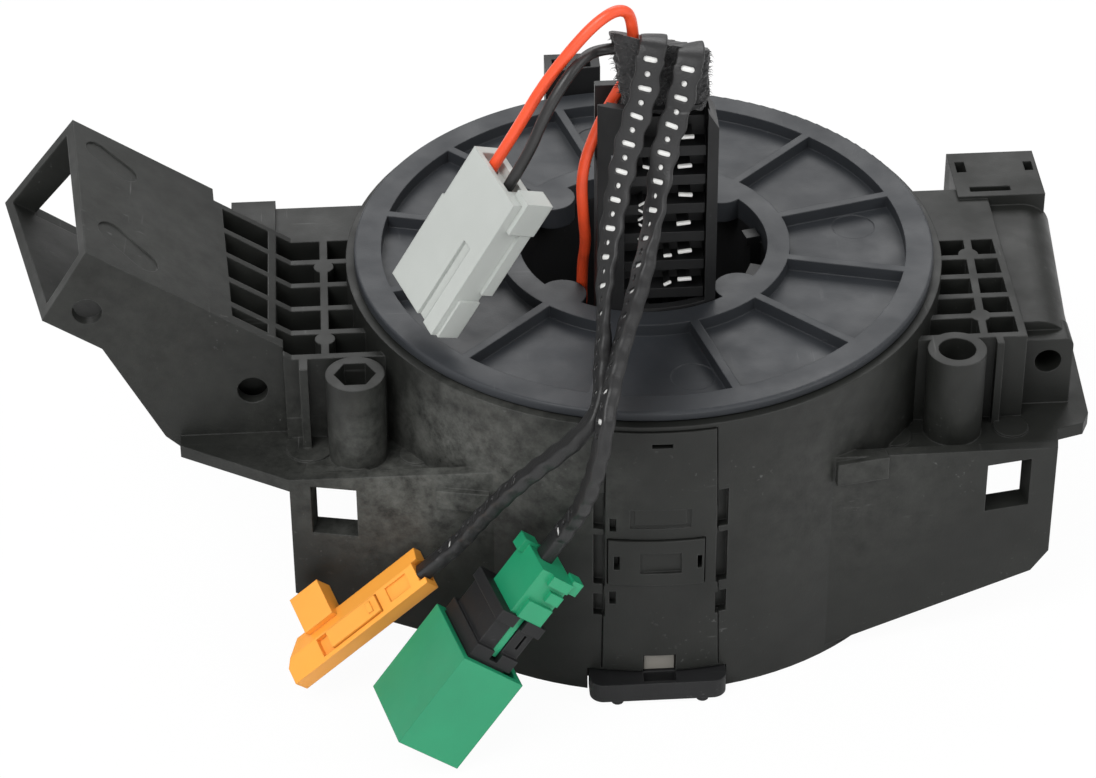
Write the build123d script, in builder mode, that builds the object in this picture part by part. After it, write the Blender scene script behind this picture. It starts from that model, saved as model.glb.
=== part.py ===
from build123d import *
import math
import os

os.makedirs("parts", exist_ok=True)

# Driving sizes, in millimetres. Z is the steering axis and the feet stand on Z = 0.
# The front of the unit faces -Y.

# Rotor disc
disc_top = 61.0
disc_radius = 52.5
disc_edge = 1.7
disc_plate = 1.8
recess_depth = 2.4
rim_width = 5.0
rib_count = 12
rib_thickness = 1.6
rib_start = 15.0
hub_ring_radius = 26.6
hub_bore = 22.5
hub_wall = 2.6
ear_radius = 4.3
ear_count = 4
hook_width = 5.5
hook_depth = 2.6

# Drum of the housing
drum_radius = 54.0
drum_wall = 2.2
running_gap = 0.3
fit_gap = 0.2
floor_thickness = 2.5
shelf_top = 38.5
grid_top = 56.0
wing_y = -37.5
wing_thickness = 2.2
wing_meet = 29.8
wing_rise = 5.8
wing_bury = 1.6
collar_bore = 20.0
collar_height = 10.0
cover_thickness = 2.0
shaft_clearance = 0.08

# Fixing bosses
boss_x = 53.0
boss_y = -30.6
boss_radius = 5.2
boss_bore = 3.3
hex_flats = 6.4

# Rib grids beside the drum
rib_wall = 1.4
left_rows = 5
left_row_pitch = 7.4
left_grid_front = -24.8
left_grid_rear = left_grid_front + left_rows * left_row_pitch
left_rib_inner = -58.1
left_rib_outer = -67.4
left_box_end = -75.2
left_box_lean = 2.4
left_rear = 23.0
right_rows = 5
right_row_pitch = 6.2
right_grid_front = -26.8
right_grid_rear = right_grid_front + right_rows * right_row_pitch
right_rib_x = 59.2
right_rib_lean = 1.6
right_box_end = 66.0
right_rear = 32.0
pad_radius = 1.8

# Stalk bracket on the left, a rectangular socket that climbs outward
bracket_wall = 2.2
bracket_front = -23.0
bracket_rear = 16.5
bracket_bend_x = -64.0
bracket_slope = 0.66
bracket_front_end = -98.3
bracket_front_low_end = -107.0
bracket_rear_end = -102.1
bracket_rear_low_end = -115.9
bracket_front_height = 16.4
bracket_rear_height = 22.0
bracket_hole = 2.6
bracket_hole_x = -99.1
bracket_hole_z = 66.2
inner_hole = 2.7
inner_hole_x = -71.3
inner_hole_z = 47.9

# Stalk block on the right
block_bore = 2.4
block_bore_x = 70.8
block_bore_z = 47.8
block_front = -24.0
block_back = 18.0
block_left = 65.0
block_right = 75.2
block_height = 14.0
barrel_top = 54.4
barrel_lean = 3.0
flange_front_x = 78.2
flange_rear_x = 80.5

# Front door and its latch
door_left = -11.4
door_right = 9.6
door_taper = 1.2
door_bottom = 5.2
door_top = 58.2
door_thickness = 1.0
door_proud = 0.35
latch_bottom = 24.8
latch_top = 35.0
latch_inset = 1.0
lip_left = -13.6
lip_right = 10.8
lip_height = 3.8
lip_overhang = 3.2
lip_root = 2.4
contact_width = 26.0
contact_depth = 9.0
contact_height = 22.0
peg_radius = 1.1
peg_drop = 0.8

# Ribbon pack in the upper chamber
ribbon_height = 13.0
ribbon_thickness = 0.7
ribbon_pitch = 2.0
ribbon_turns = 5
washer_thickness = 0.5

# Cable tower on the hub
tower_left = -9.8
tower_right = 11.2
tower_back = -12.0
tower_wall = 1.6
tower_foot = 46.0
tower_top = 102.5
comb_pitch = 5.9
comb_rungs = 6
sleeve_height = 11.0

# Wires and leads
wire_diameter = 2.0
lead_diameter = 2.8
pocket_gap = 0.35

# Heights worked out from the driving sizes
recess_floor = disc_top - recess_depth
disc_underside = recess_floor - disc_plate
drum_top = disc_top - disc_edge - running_gap
drum_inner = drum_radius - drum_wall
shelf_bottom = shelf_top - floor_thickness
hub_outer = hub_bore + hub_wall
cover_bottom = peg_drop
cover_top = cover_bottom + cover_thickness
slope_drop = bracket_wall * math.sqrt(1 + bracket_slope**2)
lip_reach = drum_radius + lip_overhang
sleeve_top = tower_top + sleeve_height
contact_face = math.sqrt((drum_inner - 1.0)**2 - (contact_width / 2)**2)


# Height of the bracket's top plane above a place along X
def slope_z(x):
    return grid_top + bracket_slope * (bracket_bend_x - x)


# End of the left box at a place along Y
def left_end(y):
    share = (y - left_grid_front) / (left_grid_rear - left_grid_front)
    return left_box_end - left_box_lean * share


# Side view of the left box at a place along Y
def left_box(y):
    end = left_end(y)
    return [
        (end, shelf_bottom),
        (-46.0, shelf_bottom),
        (-46.0, grid_top),
        (bracket_bend_x, grid_top),
        (end, slope_z(end)),
    ]


# Outline of the door, wider at its foot, drawn in by a gap
def door_outline(gap):
    return [
        (door_left + gap, door_bottom + gap),
        (door_right - gap, door_bottom + gap),
        (door_right - door_taper - gap, door_top - gap),
        (door_left + door_taper / 2 + gap, door_top - gap),
    ]


# A curved band on the drum's front between two radii, two places along X and two heights
def band(left, right, low, high, inner, outer, mode=Mode.ADD):
    with BuildSketch(Plane.XY.offset(low)) as section:
        with Locations(((left + right) / 2, -drum_radius)):
            Rectangle(right - left, 12.0)
        Circle(outer, mode=Mode.INTERSECT)
        Circle(inner, mode=Mode.SUBTRACT)
    extrude(section.sketch, amount=high - low, mode=mode)


# Points of the socket's section: inset moves its top and base inward, reach pushes its open end out
def socket_section(root, top_end, low_end, height, inset, reach):
    start = root - (bracket_wall if inset > 0 else 0)
    low_z = slope_z(low_end) - height * math.sqrt(1 + bracket_slope**2)
    lift = slope_drop if inset > 0 else 0
    return [
        (start, slope_z(start) - lift),
        (top_end - reach, slope_z(top_end - reach) - lift),
        (low_end - reach, low_z + bracket_slope * reach + lift),
        (start, low_z - bracket_slope * (start - low_end) + lift),
    ]


# Wings run from the shelf's corner to the drum, each on its own upright plane
wing_end_left = (-65.4, wing_y)
wing_end_right = (71.0, wing_y)
wing_root_left = (-wing_meet, -math.sqrt(drum_radius**2 - wing_meet**2))
wing_root_right = (wing_meet, -math.sqrt(drum_radius**2 - wing_meet**2))
left_span = math.dist(wing_end_left, wing_root_left)
right_span = math.dist(wing_end_right, wing_root_right)
left_run = Vector(wing_root_left[0] - wing_end_left[0], wing_root_left[1] - wing_end_left[1], 0)
right_run = Vector(wing_end_right[0] - wing_root_right[0], wing_end_right[1] - wing_root_right[1], 0)
left_wing_plane = Plane(
    origin=(wing_end_left[0], wing_end_left[1], 0), x_dir=left_run, z_dir=left_run.cross(Vector(0, 0, 1))
)
right_wing_plane = Plane(
    origin=(wing_root_right[0], wing_root_right[1], 0), x_dir=right_run, z_dir=right_run.cross(Vector(0, 0, 1))
)

# Housing: drum wall, floor, shelves, wings, rib grids, stalk bracket and stalk block in one moulding
left_shelf = [
    (-84.7, -26.0),
    (-84.7, -17.0),
    (-78.5, -17.0),
    (-78.5, left_rear),
    (-40.0, left_rear),
    wing_root_left,
    wing_end_left,
]
right_shelf = [
    wing_end_right,
    (72.0, -32.0),
    (flange_front_x - 1.4, -30.5),
    (flange_front_x, -27.5),
    (flange_rear_x, right_rear),
    (60.0, right_rear),
    (60.0, 20.5),
    (40.0, 20.5),
    wing_root_right,
]
left_wing = [
    (0, shelf_top),
    (0, 13.0),
    (18.2, 8.0),
    (left_span + wing_bury, 3.2),
    (left_span + wing_bury, shelf_top + wing_rise),
]
right_wing = [
    (-wing_bury, 1.0),
    (0, 1.5),
    (right_span - 3.2, 11.2),
    (right_span, 15.2),
    (right_span, shelf_top),
    (-wing_bury, shelf_top + wing_rise),
]
front_plate = [
    (bracket_bend_x - 1.5, shelf_bottom),
    (bracket_bend_x - 1.5, slope_z(bracket_bend_x - 1.5)),
    (bracket_front_end, slope_z(bracket_front_end)),
    (bracket_front_low_end, slope_z(bracket_front_low_end) - bracket_front_height * 1.2),
    (-97.4, 58.8),
    (-87.3, shelf_top),
    (-84.7, shelf_bottom),
]
window_width = 8.2
window_height = 10.2
window_sill = 4.6
left_window = (7.9, 32.4)
right_window = (33.0, 31.8)

foot_x = -1.1
foot_width = 5.8
catch_heights = ((17.4, 22.2), (24.4, 35.4), (36.6, 44.6))

# Space that the door fills, down to its seat
with BuildPart() as door_seat:
    with BuildSketch(Plane.XZ.offset(drum_radius + 2.0)):
        with BuildLine():
            Polyline(door_outline(0), close=True)
        make_face()
    extrude(amount=-8.0)
    with BuildSketch():
        Circle(drum_radius - door_thickness)
    extrude(amount=disc_top, mode=Mode.SUBTRACT)

with BuildPart() as housing:
    # Shelves on both sides
    with BuildSketch(Plane.XY.offset(shelf_bottom)):
        with BuildLine():
            Polyline(left_shelf, close=True)
        make_face()
        with BuildLine():
            Polyline(right_shelf, close=True)
        make_face()
    extrude(amount=floor_thickness)
    # Front wings with their outlines, and a deeper frame behind each window
    with BuildSketch(left_wing_plane):
        with BuildLine():
            Polyline(left_wing, close=True)
        make_face()
    with BuildSketch(right_wing_plane):
        with BuildLine():
            Polyline(right_wing, close=True)
        make_face()
    extrude(amount=-wing_thickness)
    with BuildSketch(left_wing_plane):
        with Locations(left_window):
            Rectangle(window_width + 3.0, window_height + 3.0)
    with BuildSketch(right_wing_plane):
        with Locations(right_window):
            Rectangle(window_width + 3.0, window_height + 3.0)
    extrude(amount=-window_sill)
    # Left box that carries the rib grid
    with BuildSketch(Plane.XZ.offset(-left_grid_front + rib_wall / 2)):
        with BuildLine():
            Polyline(left_box(left_grid_front - rib_wall / 2), close=True)
        make_face()
    with BuildSketch(Plane.XZ.offset(-left_grid_rear - rib_wall / 2)):
        with BuildLine():
            Polyline(left_box(left_grid_rear + rib_wall / 2), close=True)
        make_face()
    loft(ruled=True)
    with BuildSketch(Plane.XY.offset(shelf_bottom)):
        with Locations((-75.0, left_grid_rear)):
            Rectangle(35.0, left_rear - left_grid_rear, align=(Align.MIN, Align.MIN))
    extrude(amount=grid_top - shelf_bottom)
    with BuildSketch(Plane.XY.offset(grid_top - 2.0)):
        with Locations((-75.0, left_grid_rear + 1.2)):
            Rectangle(8.2, left_rear - left_grid_rear, align=(Align.MIN, Align.MIN))
    extrude(amount=3.0)
    # Right box that carries the rib grid, its rear plate and the block behind it
    with BuildSketch(Plane.XY.offset(shelf_bottom)):
        with BuildLine():
            Polyline(
                (40.0, right_grid_front - rib_wall / 2),
                (right_box_end, right_grid_front - rib_wall / 2),
                (right_box_end, 20.5),
                (40.0, 20.5),
                close=True,
            )
        make_face()
    extrude(amount=grid_top - shelf_bottom)
    with BuildSketch(Plane.XY.offset(shelf_bottom)):
        with Locations((68.6, (17.0 + right_rear) / 2)):
            Rectangle(16.4, right_rear - 17.0)
    extrude(amount=grid_top + 0.6 - shelf_bottom)
    # Stalk block: a barrel with a round shoulder that leans outward to the rear, and a squared nose
    with BuildSketch(Plane.XZ.offset(-block_front - 3.0)) as barrel:
        with Locations((block_right, shelf_bottom)):
            Rectangle(block_right - block_left + 2.0, barrel_top - shelf_bottom, align=(Align.MAX, Align.MIN))
        fillet(barrel.vertices().sort_by(Axis.Z)[-2:].sort_by(Axis.X)[-1], 6.0)
    extrude(
        amount=math.hypot(barrel_lean, block_back - block_front - 3.0),
        dir=(barrel_lean, block_back - block_front - 3.0, 0),
    )
    with BuildSketch(Plane.XZ.offset(-block_front)):
        with Locations(((block_left + block_right) / 2, shelf_top + block_height / 2 - 1.0)):
            RectangleRounded(block_right - block_left, block_height + 2.0, 1.5)
    extrude(amount=-6.0)
    # Drum wall and chamber floor
    with BuildSketch():
        Circle(drum_radius)
    extrude(amount=drum_top)
    with BuildSketch():
        Circle(drum_inner)
    extrude(amount=shelf_bottom, mode=Mode.SUBTRACT)
    with BuildSketch(Plane.XY.offset(shelf_top)):
        Circle(drum_inner)
    extrude(amount=drum_top, mode=Mode.SUBTRACT)
    with BuildSketch(Plane.XY.offset(shelf_bottom)):
        Circle(hub_outer + 2.0)
    extrude(amount=floor_thickness, mode=Mode.SUBTRACT)
    # Pockets of the left grid, open at the top
    with BuildSketch(Plane.XY.offset(shelf_top)):
        for row in range(left_rows):
            near = left_grid_front + row * left_row_pitch + rib_wall / 2
            far = near + left_row_pitch - rib_wall
            with BuildLine():
                Polyline(
                    (left_end(near) + rib_wall, near),
                    (-46.0, near),
                    (-46.0, far),
                    (left_end(far) + rib_wall, far),
                    close=True,
                )
            make_face()
        Circle(drum_radius, mode=Mode.SUBTRACT)
    extrude(amount=disc_top, mode=Mode.SUBTRACT)
    # Pockets of the right grid
    with BuildSketch(Plane.XY.offset(shelf_top)):
        for row in range(right_rows):
            row_y = right_grid_front + (row + 0.5) * right_row_pitch
            with Locations(((44.0 + right_box_end - rib_wall) / 2, row_y)):
                Rectangle(right_box_end - rib_wall - 44.0, right_row_pitch - rib_wall)
        Circle(drum_radius, mode=Mode.SUBTRACT)
    extrude(amount=disc_top, mode=Mode.SUBTRACT)
    # Hollows under the rear plates
    with BuildSketch(Plane.XY.offset(shelf_bottom)):
        with Locations((-64.0, (left_grid_rear + left_rear) / 2 + rib_wall / 4)):
            Rectangle(18.0, left_rear - left_grid_rear - 2.5 * rib_wall)
        with Locations((60.5, (right_grid_rear + 18.0) / 2)):
            Rectangle(7.5, 18.0 - right_grid_rear - 2 * rib_wall)
        with Locations((68.6, (17.0 + right_rear) / 2)):
            Rectangle(12.0, right_rear - 17.0 - 4.4)
    extrude(amount=grid_top - 2.0 - shelf_bottom, mode=Mode.SUBTRACT)
    # Cross ribs and ejector pads that divide the pockets
    with BuildSketch(Plane.XY.offset(shelf_top)):
        with Locations((left_rib_inner, (left_grid_front + left_grid_rear) / 2)):
            Rectangle(rib_wall, left_grid_rear - left_grid_front)
        with Locations((left_rib_inner, 3.1), (left_rib_inner, -19.6)):
            Circle(pad_radius)
        with BuildLine():
            Polyline(
                (right_rib_x + right_rib_lean / 2 - rib_wall / 2, right_grid_rear),
                (right_rib_x + right_rib_lean / 2 + rib_wall / 2, right_grid_rear),
                (right_rib_x - right_rib_lean / 2 + rib_wall / 2, right_grid_front),
                (right_rib_x - right_rib_lean / 2 - rib_wall / 2, right_grid_front),
                close=True,
            )
        make_face()
        with Locations((59.5, -1.1), (58.7, -20.5)):
            Circle(pad_radius)
    extrude(amount=grid_top - shelf_top)
    with BuildSketch(Plane.XZ.offset(-left_grid_front)):
        with BuildLine():
            Polyline(
                (left_rib_outer - rib_wall / 2, shelf_top),
                (left_rib_outer + rib_wall / 2, shelf_top),
                (left_rib_outer + rib_wall / 2, slope_z(left_rib_outer + rib_wall / 2)),
                (left_rib_outer - rib_wall / 2, slope_z(left_rib_outer - rib_wall / 2)),
                close=True,
            )
        make_face()
    extrude(amount=-(left_grid_rear - left_grid_front))
    # Small upright ribs in front of the grids
    with BuildSketch(Plane.XY.offset(shelf_top)):
        with Locations((-62.0, -27.0)):
            Rectangle(1.5, 3.6)
        with Locations((61.0, -28.0)):
            Rectangle(1.3, 2.8)
    extrude(amount=grid_top - shelf_top)
    # Ejector pads on the shelves
    with BuildSketch(Plane.XY.offset(shelf_top)):
        with Locations((-61.6, -28.4)):
            Circle(4.2)
        with Locations((-42.6, -31.6), (42.4, -32.3), (63.6, -31.0)):
            Circle(3.1)
        Circle(drum_radius - 1.0, mode=Mode.SUBTRACT)
    extrude(amount=0.4)
    # Step back beside the bracket's front plate
    with BuildSketch(Plane.XY.offset(shelf_top)):
        with Locations((bracket_bend_x - 1.5, bracket_front)):
            Rectangle(20.0, 4.0, align=(Align.MAX, Align.MAX))
    extrude(amount=drum_top, mode=Mode.SUBTRACT)
    # Stalk bracket: front plate and the socket behind it
    with BuildSketch(Plane.XZ.offset(-bracket_front)):
        with BuildLine():
            Polyline(front_plate, close=True)
        make_face()
    extrude(amount=-bracket_wall)
    with BuildSketch(Plane.XZ.offset(-bracket_front)):
        with BuildLine():
            Polyline(
                socket_section(
                    left_end(bracket_front), bracket_front_end, bracket_front_low_end, bracket_front_height, 0, 0
                ),
                close=True,
            )
        make_face()
    with BuildSketch(Plane.XZ.offset(-bracket_rear)):
        with BuildLine():
            Polyline(
                socket_section(
                    left_end(bracket_rear), bracket_rear_end, bracket_rear_low_end, bracket_rear_height, 0, 0
                ),
                close=True,
            )
        make_face()
    loft(ruled=True)
    with BuildSketch(Plane.XZ.offset(-bracket_front - bracket_wall)):
        with BuildLine():
            Polyline(
                socket_section(
                    left_end(bracket_front), bracket_front_end, bracket_front_low_end, bracket_front_height, 1, 8.0
                ),
                close=True,
            )
        make_face()
    with BuildSketch(Plane.XZ.offset(-bracket_rear + bracket_wall)):
        with BuildLine():
            Polyline(
                socket_section(
                    left_end(bracket_rear), bracket_rear_end, bracket_rear_low_end, bracket_rear_height, 1, 8.0
                ),
                close=True,
            )
        make_face()
    loft(ruled=True, mode=Mode.SUBTRACT)
    # Window in the socket's rear wall
    with BuildSketch(Plane.XZ.offset(-bracket_rear - 1.0)):
        with BuildLine():
            Polyline(
                (bracket_rear_end + 2.2, slope_z(bracket_rear_end) - 6.4),
                (bracket_rear_end - 8.3, slope_z(bracket_rear_end) - 18.4),
                (bracket_rear_end + 9.5, slope_z(bracket_rear_end) - 30.6),
                (bracket_rear_end + 20.0, slope_z(bracket_rear_end) - 18.4),
                close=True,
            )
        make_face()
    extrude(amount=bracket_wall + 2.0, mode=Mode.SUBTRACT)
    # Two long sinks pressed into the socket's top
    with BuildSketch(Plane(origin=(bracket_bend_x, 0, grid_top), x_dir=(-1, 0, bracket_slope), z_dir=(bracket_slope, 0, 1))):
        with Locations((37.4, -9.1)):
            SlotOverall(11.0, 4.8, rotation=-24)
        with Locations((33.1, 15.0)):
            SlotOverall(13.0, 5.4, rotation=-30)
    extrude(amount=-0.3, mode=Mode.SUBTRACT)
    # Holes in the front plate
    with BuildSketch(Plane.XZ.offset(-bracket_front)):
        with Locations((bracket_hole_x, bracket_hole_z)):
            Circle(bracket_hole)
        with Locations((inner_hole_x, inner_hole_z)):
            Circle(inner_hole)
    extrude(amount=-bracket_wall, mode=Mode.SUBTRACT)
    # Bosses with their bores
    with BuildSketch(Plane.XY.offset(shelf_bottom)):
        with Locations((-boss_x, boss_y), (boss_x, boss_y)):
            Circle(boss_radius)
    extrude(amount=grid_top - shelf_bottom)
    with BuildSketch(Plane.XY.offset(shelf_bottom)):
        with Locations((boss_x, boss_y)):
            Circle(boss_bore)
        with Locations((-boss_x, boss_y)):
            RegularPolygon(hex_flats / 2, 6, major_radius=False)
    extrude(amount=grid_top, mode=Mode.SUBTRACT)
    # Bore, slots and square holes of the stalk block
    with BuildSketch(Plane.XZ.offset(-block_front)):
        with Locations((block_bore_x, block_bore_z)):
            Circle(block_bore)
    extrude(amount=-16.0, mode=Mode.SUBTRACT)
    with BuildSketch(Plane.XY.offset(grid_top - 3.0)):
        with Locations((66.8, 19.4)):
            Rectangle(7.6, 1.6)
        with Locations((62.4, 27.2)):
            Rectangle(1.8, 3.6)
        with Locations((75.2, 26.8)):
            Rectangle(1.6, 3.0)
    extrude(amount=10.0, mode=Mode.SUBTRACT)
    # Square windows in the wings and the raised blocks beside them
    with BuildSketch(left_wing_plane):
        with Locations(left_window):
            Rectangle(window_width, window_height)
    with BuildSketch(right_wing_plane):
        with Locations(right_window):
            Rectangle(window_width, window_height)
    extrude(amount=-window_sill, mode=Mode.SUBTRACT)
    with BuildSketch(left_wing_plane.offset(1.2)):
        with Locations((left_span - 5.2, shelf_top - 0.6)):
            Rectangle(9.4, 4.0)
    with BuildSketch(right_wing_plane.offset(1.2)):
        with Locations((5.2, shelf_top + 2.4)):
            Rectangle(9.4, 4.6)
    extrude(amount=-2.4)
    with BuildSketch(Plane.XY):
        Circle(drum_inner)
    extrude(amount=shelf_bottom, mode=Mode.SUBTRACT)
    # Seat of the door with catch slots down both sides, the opening behind it and the notch for the lip
    add(door_seat.part, mode=Mode.SUBTRACT)
    for low, high in catch_heights:
        band(door_left - 1.4, door_left + 0.4, low, high, drum_radius - 1.7, drum_radius + 2.0, Mode.SUBTRACT)
        band(door_right - 0.8, door_right + 1.0, low, high, drum_radius - 1.7, drum_radius + 2.0, Mode.SUBTRACT)
    with BuildSketch(Plane.XY.offset(door_bottom + 3.0)):
        with Locations(((door_left + door_right) / 2, -drum_radius + 1.0)):
            Rectangle(door_right - door_left - 6.0, 8.0)
    extrude(amount=shelf_bottom - door_bottom - 6.0, mode=Mode.SUBTRACT)
    with BuildSketch():
        with Locations(((lip_left + lip_right) / 2, -drum_radius)):
            Rectangle(lip_right - lip_left + 2 * fit_gap, 2 * (drum_wall + lip_root))
    extrude(amount=peg_drop + lip_height + fit_gap, mode=Mode.SUBTRACT)
    with BuildSketch(Plane.XY.offset(peg_drop + lip_height)):
        with Locations((foot_x, -drum_radius)):
            Rectangle(foot_width, 2 * (drum_wall + lip_root))
    extrude(amount=4.0, mode=Mode.SUBTRACT)
    # Stiffening ribs between wings and drum, under the shelves
    with BuildSketch(Plane.XY.offset(14.0)):
        with Locations((-47.5, -33.5), (48.5, -33.5)):
            Rectangle(1.6, 8.0)
    extrude(amount=shelf_bottom - 14.0)
housing.part.label = "housing"
export_step(housing.part, "parts/housing.step")

# Base cover: inset floor with a guide collar, the front lip and two locating pegs
peg_x = 7.6
with BuildPart() as base_cover:
    with BuildSketch(Plane.XY.offset(cover_bottom)):
        Circle(drum_inner - fit_gap)
    extrude(amount=cover_thickness)
    with BuildSketch():
        Circle(hub_bore - shaft_clearance)
    extrude(amount=collar_height)
    lip_depth = lip_overhang + drum_wall + lip_root
    with BuildSketch(Plane.XY.offset(cover_bottom)):
        with Locations(((lip_left + lip_right) / 2, -lip_reach + lip_depth / 2)):
            RectangleRounded(lip_right - lip_left, lip_depth, 2.5)
    extrude(amount=lip_height)
    with BuildSketch():
        Circle(collar_bore)
    extrude(amount=collar_height, mode=Mode.SUBTRACT)
    with BuildSketch(Plane.XY.offset(cover_bottom)):
        with Locations((foot_x, -lip_reach + 0.8)):
            Rectangle(foot_width, 2.6, align=(Align.CENTER, Align.MIN))
    extrude(amount=lip_height, mode=Mode.SUBTRACT)
    with BuildSketch(Plane.XY):
        with Locations((foot_x - peg_x, -lip_reach + 1.2), (foot_x + peg_x, -lip_reach + 1.2)):
            Circle(peg_radius)
        with PolarLocations(drum_inner - 4.0, 4, start_angle=45):
            Circle(peg_radius + 0.6)
    extrude(amount=peg_drop)
base_cover.part.label = "base_cover"
export_step(base_cover.part, "parts/base_cover.step")

# Door: curved cover strip over the front opening, with a window for the latch and one at its foot
door_centre = (door_left + door_right) / 2
latch_width = 17.2
with BuildPart() as front_door:
    with BuildSketch(Plane.XZ.offset(drum_radius + 2.0)):
        with BuildLine():
            Polyline(door_outline(fit_gap), close=True)
        make_face()
        with Locations((door_centre - 1.0, (latch_bottom + latch_top) / 2)):
            Rectangle(latch_width, latch_top - latch_bottom, mode=Mode.SUBTRACT)
        with Locations((door_centre - 0.2, door_top - 3.0)):
            Rectangle(3.6, 0.9, mode=Mode.SUBTRACT)
        with Locations((foot_x, door_bottom)):
            Rectangle(foot_width, 7.0, mode=Mode.SUBTRACT)
        with Locations((door_left + 1.9, latch_top + 3.0), (door_left + 1.9, latch_bottom - 3.0)):
            Rectangle(1.1, 2.8, mode=Mode.SUBTRACT)
    extrude(amount=-10.0)
    with BuildSketch():
        Circle(drum_radius + door_proud)
        Circle(drum_radius - door_thickness + 0.05, mode=Mode.SUBTRACT)
    extrude(amount=disc_top, mode=Mode.INTERSECT)
    # Shallow panel above the latch and the catch slots at the edges
    band(-6.5, 4.1, latch_top + 2.4, latch_top + 6.4, drum_radius + door_proud - 0.3, drum_radius + 2.0, Mode.SUBTRACT)
    band(-5.7, 3.3, latch_top + 3.2, latch_top + 6.4, drum_radius - 0.5, drum_radius + door_proud - 0.08)
    for low, high in catch_heights:
        band(door_left - 1.4, door_left + 0.6, low, high, drum_radius - 2.0, drum_radius + 2.0, Mode.SUBTRACT)
        band(door_right - 1.0, door_right + 1.0, low, high, drum_radius - 2.0, drum_radius + 2.0, Mode.SUBTRACT)
front_door.part.label = "front_door"
export_step(front_door.part, "parts/front_door.step")

# Latch plate in the door
with BuildPart() as door_latch:
    with BuildSketch(Plane.XY.offset(latch_bottom + fit_gap)):
        with Locations((door_centre - 1.0, -drum_radius)):
            Rectangle(latch_width - 2 * fit_gap, 12.0)
        Circle(drum_radius - door_thickness + 0.05, mode=Mode.SUBTRACT)
        Circle(drum_radius + door_proud + 0.4, mode=Mode.INTERSECT)
    extrude(amount=latch_top - latch_bottom - 2 * fit_gap)
    with BuildSketch(Plane.XZ.offset(drum_radius + 2.0)):
        with Locations((door_centre - 0.2, (latch_bottom + latch_top) / 2)):
            Rectangle(7.2, 4.4)
    extrude(amount=-1.9, mode=Mode.SUBTRACT)
    with BuildSketch(Plane.XZ.offset(drum_radius + 2.0)):
        with Locations((door_centre - 7.9, (latch_bottom + latch_top) / 2)):
            Rectangle(1.0, 3.0)
        with Locations((door_centre + 6.6, (latch_bottom + latch_top) / 2)):
            Rectangle(0.8, 2.8)
    extrude(amount=-6.0, mode=Mode.SUBTRACT)
door_latch.part.label = "door_latch"
export_step(door_latch.part, "parts/door_latch.step")

# Contact block behind the door, standing on the base cover
with BuildPart() as contact_block:
    with BuildSketch(Plane.XY.offset(cover_top)):
        with Locations((door_centre, -contact_face + contact_depth / 2)):
            Rectangle(contact_width, contact_depth)
        Circle(drum_inner - 0.5, mode=Mode.INTERSECT)
    extrude(amount=contact_height)
    with BuildSketch(Plane.XZ.offset(contact_face)):
        with GridLocations(5.0, 8.0, 4, 2):
            with Locations((door_centre, cover_top + contact_height / 2)):
                Rectangle(3.0, 5.0)
    extrude(amount=-6.0, mode=Mode.SUBTRACT)
contact_block.part.label = "contact_block"
export_step(contact_block.part, "parts/contact_block.step")

# Contact pins held in the block
with BuildPart() as contact_pins:
    with BuildSketch(Plane.XZ.offset(contact_face - 6.0)):
        with GridLocations(5.0, 8.0, 4, 2):
            with Locations((door_centre, cover_top + contact_height / 2)):
                Rectangle(0.8, 0.8)
    extrude(amount=4.6)
contact_pins.part.label = "contact_pins"
export_step(contact_pins.part, "parts/contact_pins.step")

# Clip block on the rear of the drum
clip_x = -9.2
with BuildPart() as rear_clip:
    with BuildSketch(Plane.XY.offset(shelf_top)):
        with Locations((clip_x, drum_radius + 2.0)):
            Rectangle(10.6, 6.0)
        Circle(drum_radius, mode=Mode.SUBTRACT)
    extrude(amount=disc_top + 4.6 - shelf_top)
    with BuildSketch(Plane.XZ.offset(-drum_radius)):
        with Locations((clip_x - 2.6, disc_top + 2.4), (clip_x + 2.2, disc_top + 2.4)):
            Rectangle(2.6, 5.2)
    extrude(amount=-3.2, mode=Mode.SUBTRACT)
    with BuildSketch(Plane.XY.offset(shelf_top)):
        with Locations((clip_x, drum_radius + 2.6)):
            Rectangle(7.0, 2.4)
    extrude(amount=disc_top - 4.0 - shelf_top, mode=Mode.SUBTRACT)
rear_clip.part.label = "rear_clip"
export_step(rear_clip.part, "parts/rear_clip.step")

# Low friction washers below and above the ribbon
with BuildPart() as lower_washer:
    with BuildSketch(Plane.XY.offset(shelf_top)):
        Circle(drum_inner - 0.6)
        Circle(hub_outer + 2.6, mode=Mode.SUBTRACT)
    extrude(amount=washer_thickness)
lower_washer.part.label = "lower_washer"
export_step(lower_washer.part, "parts/lower_washer.step")

with BuildPart() as upper_washer:
    with BuildSketch(Plane.XY.offset(disc_underside - washer_thickness)):
        Circle(drum_inner - 0.8)
        Circle(hub_outer + 0.4, mode=Mode.SUBTRACT)
    extrude(amount=washer_thickness)
upper_washer.part.label = "upper_washer"
export_step(upper_washer.part, "parts/upper_washer.step")

# Ribbon: flat cable wound as half circles whose centres alternate, growing outward
ribbon_base = shelf_top + washer_thickness
ribbon_start = hub_outer + 3.0
with BuildPart() as ribbon_cable:
    with BuildLine() as ribbon_path:
        near = ribbon_start
        side = 1
        for half_turn in range(2 * ribbon_turns):
            far = near + ribbon_pitch / 2
            centre_x = side * (near - far) / 2
            radius = (near + far) / 2
            CenterArc((centre_x, 0), radius, 0 if side > 0 else 180, 180)
            near = far
            side = -side
    with BuildSketch(Plane(origin=ribbon_path.line @ 0, x_dir=(1, 0, 0), z_dir=(0, 1, 0))):
        Rectangle(ribbon_thickness, ribbon_height, align=(Align.CENTER, Align.MAX))
    sweep(path=ribbon_path.line)
ribbon_move = ribbon_base - ribbon_cable.part.bounding_box().min.Z
ribbon_solid = ribbon_cable.part.moved(Location((0, 0, ribbon_move)))
ribbon_solid.label = "ribbon_cable"
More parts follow.
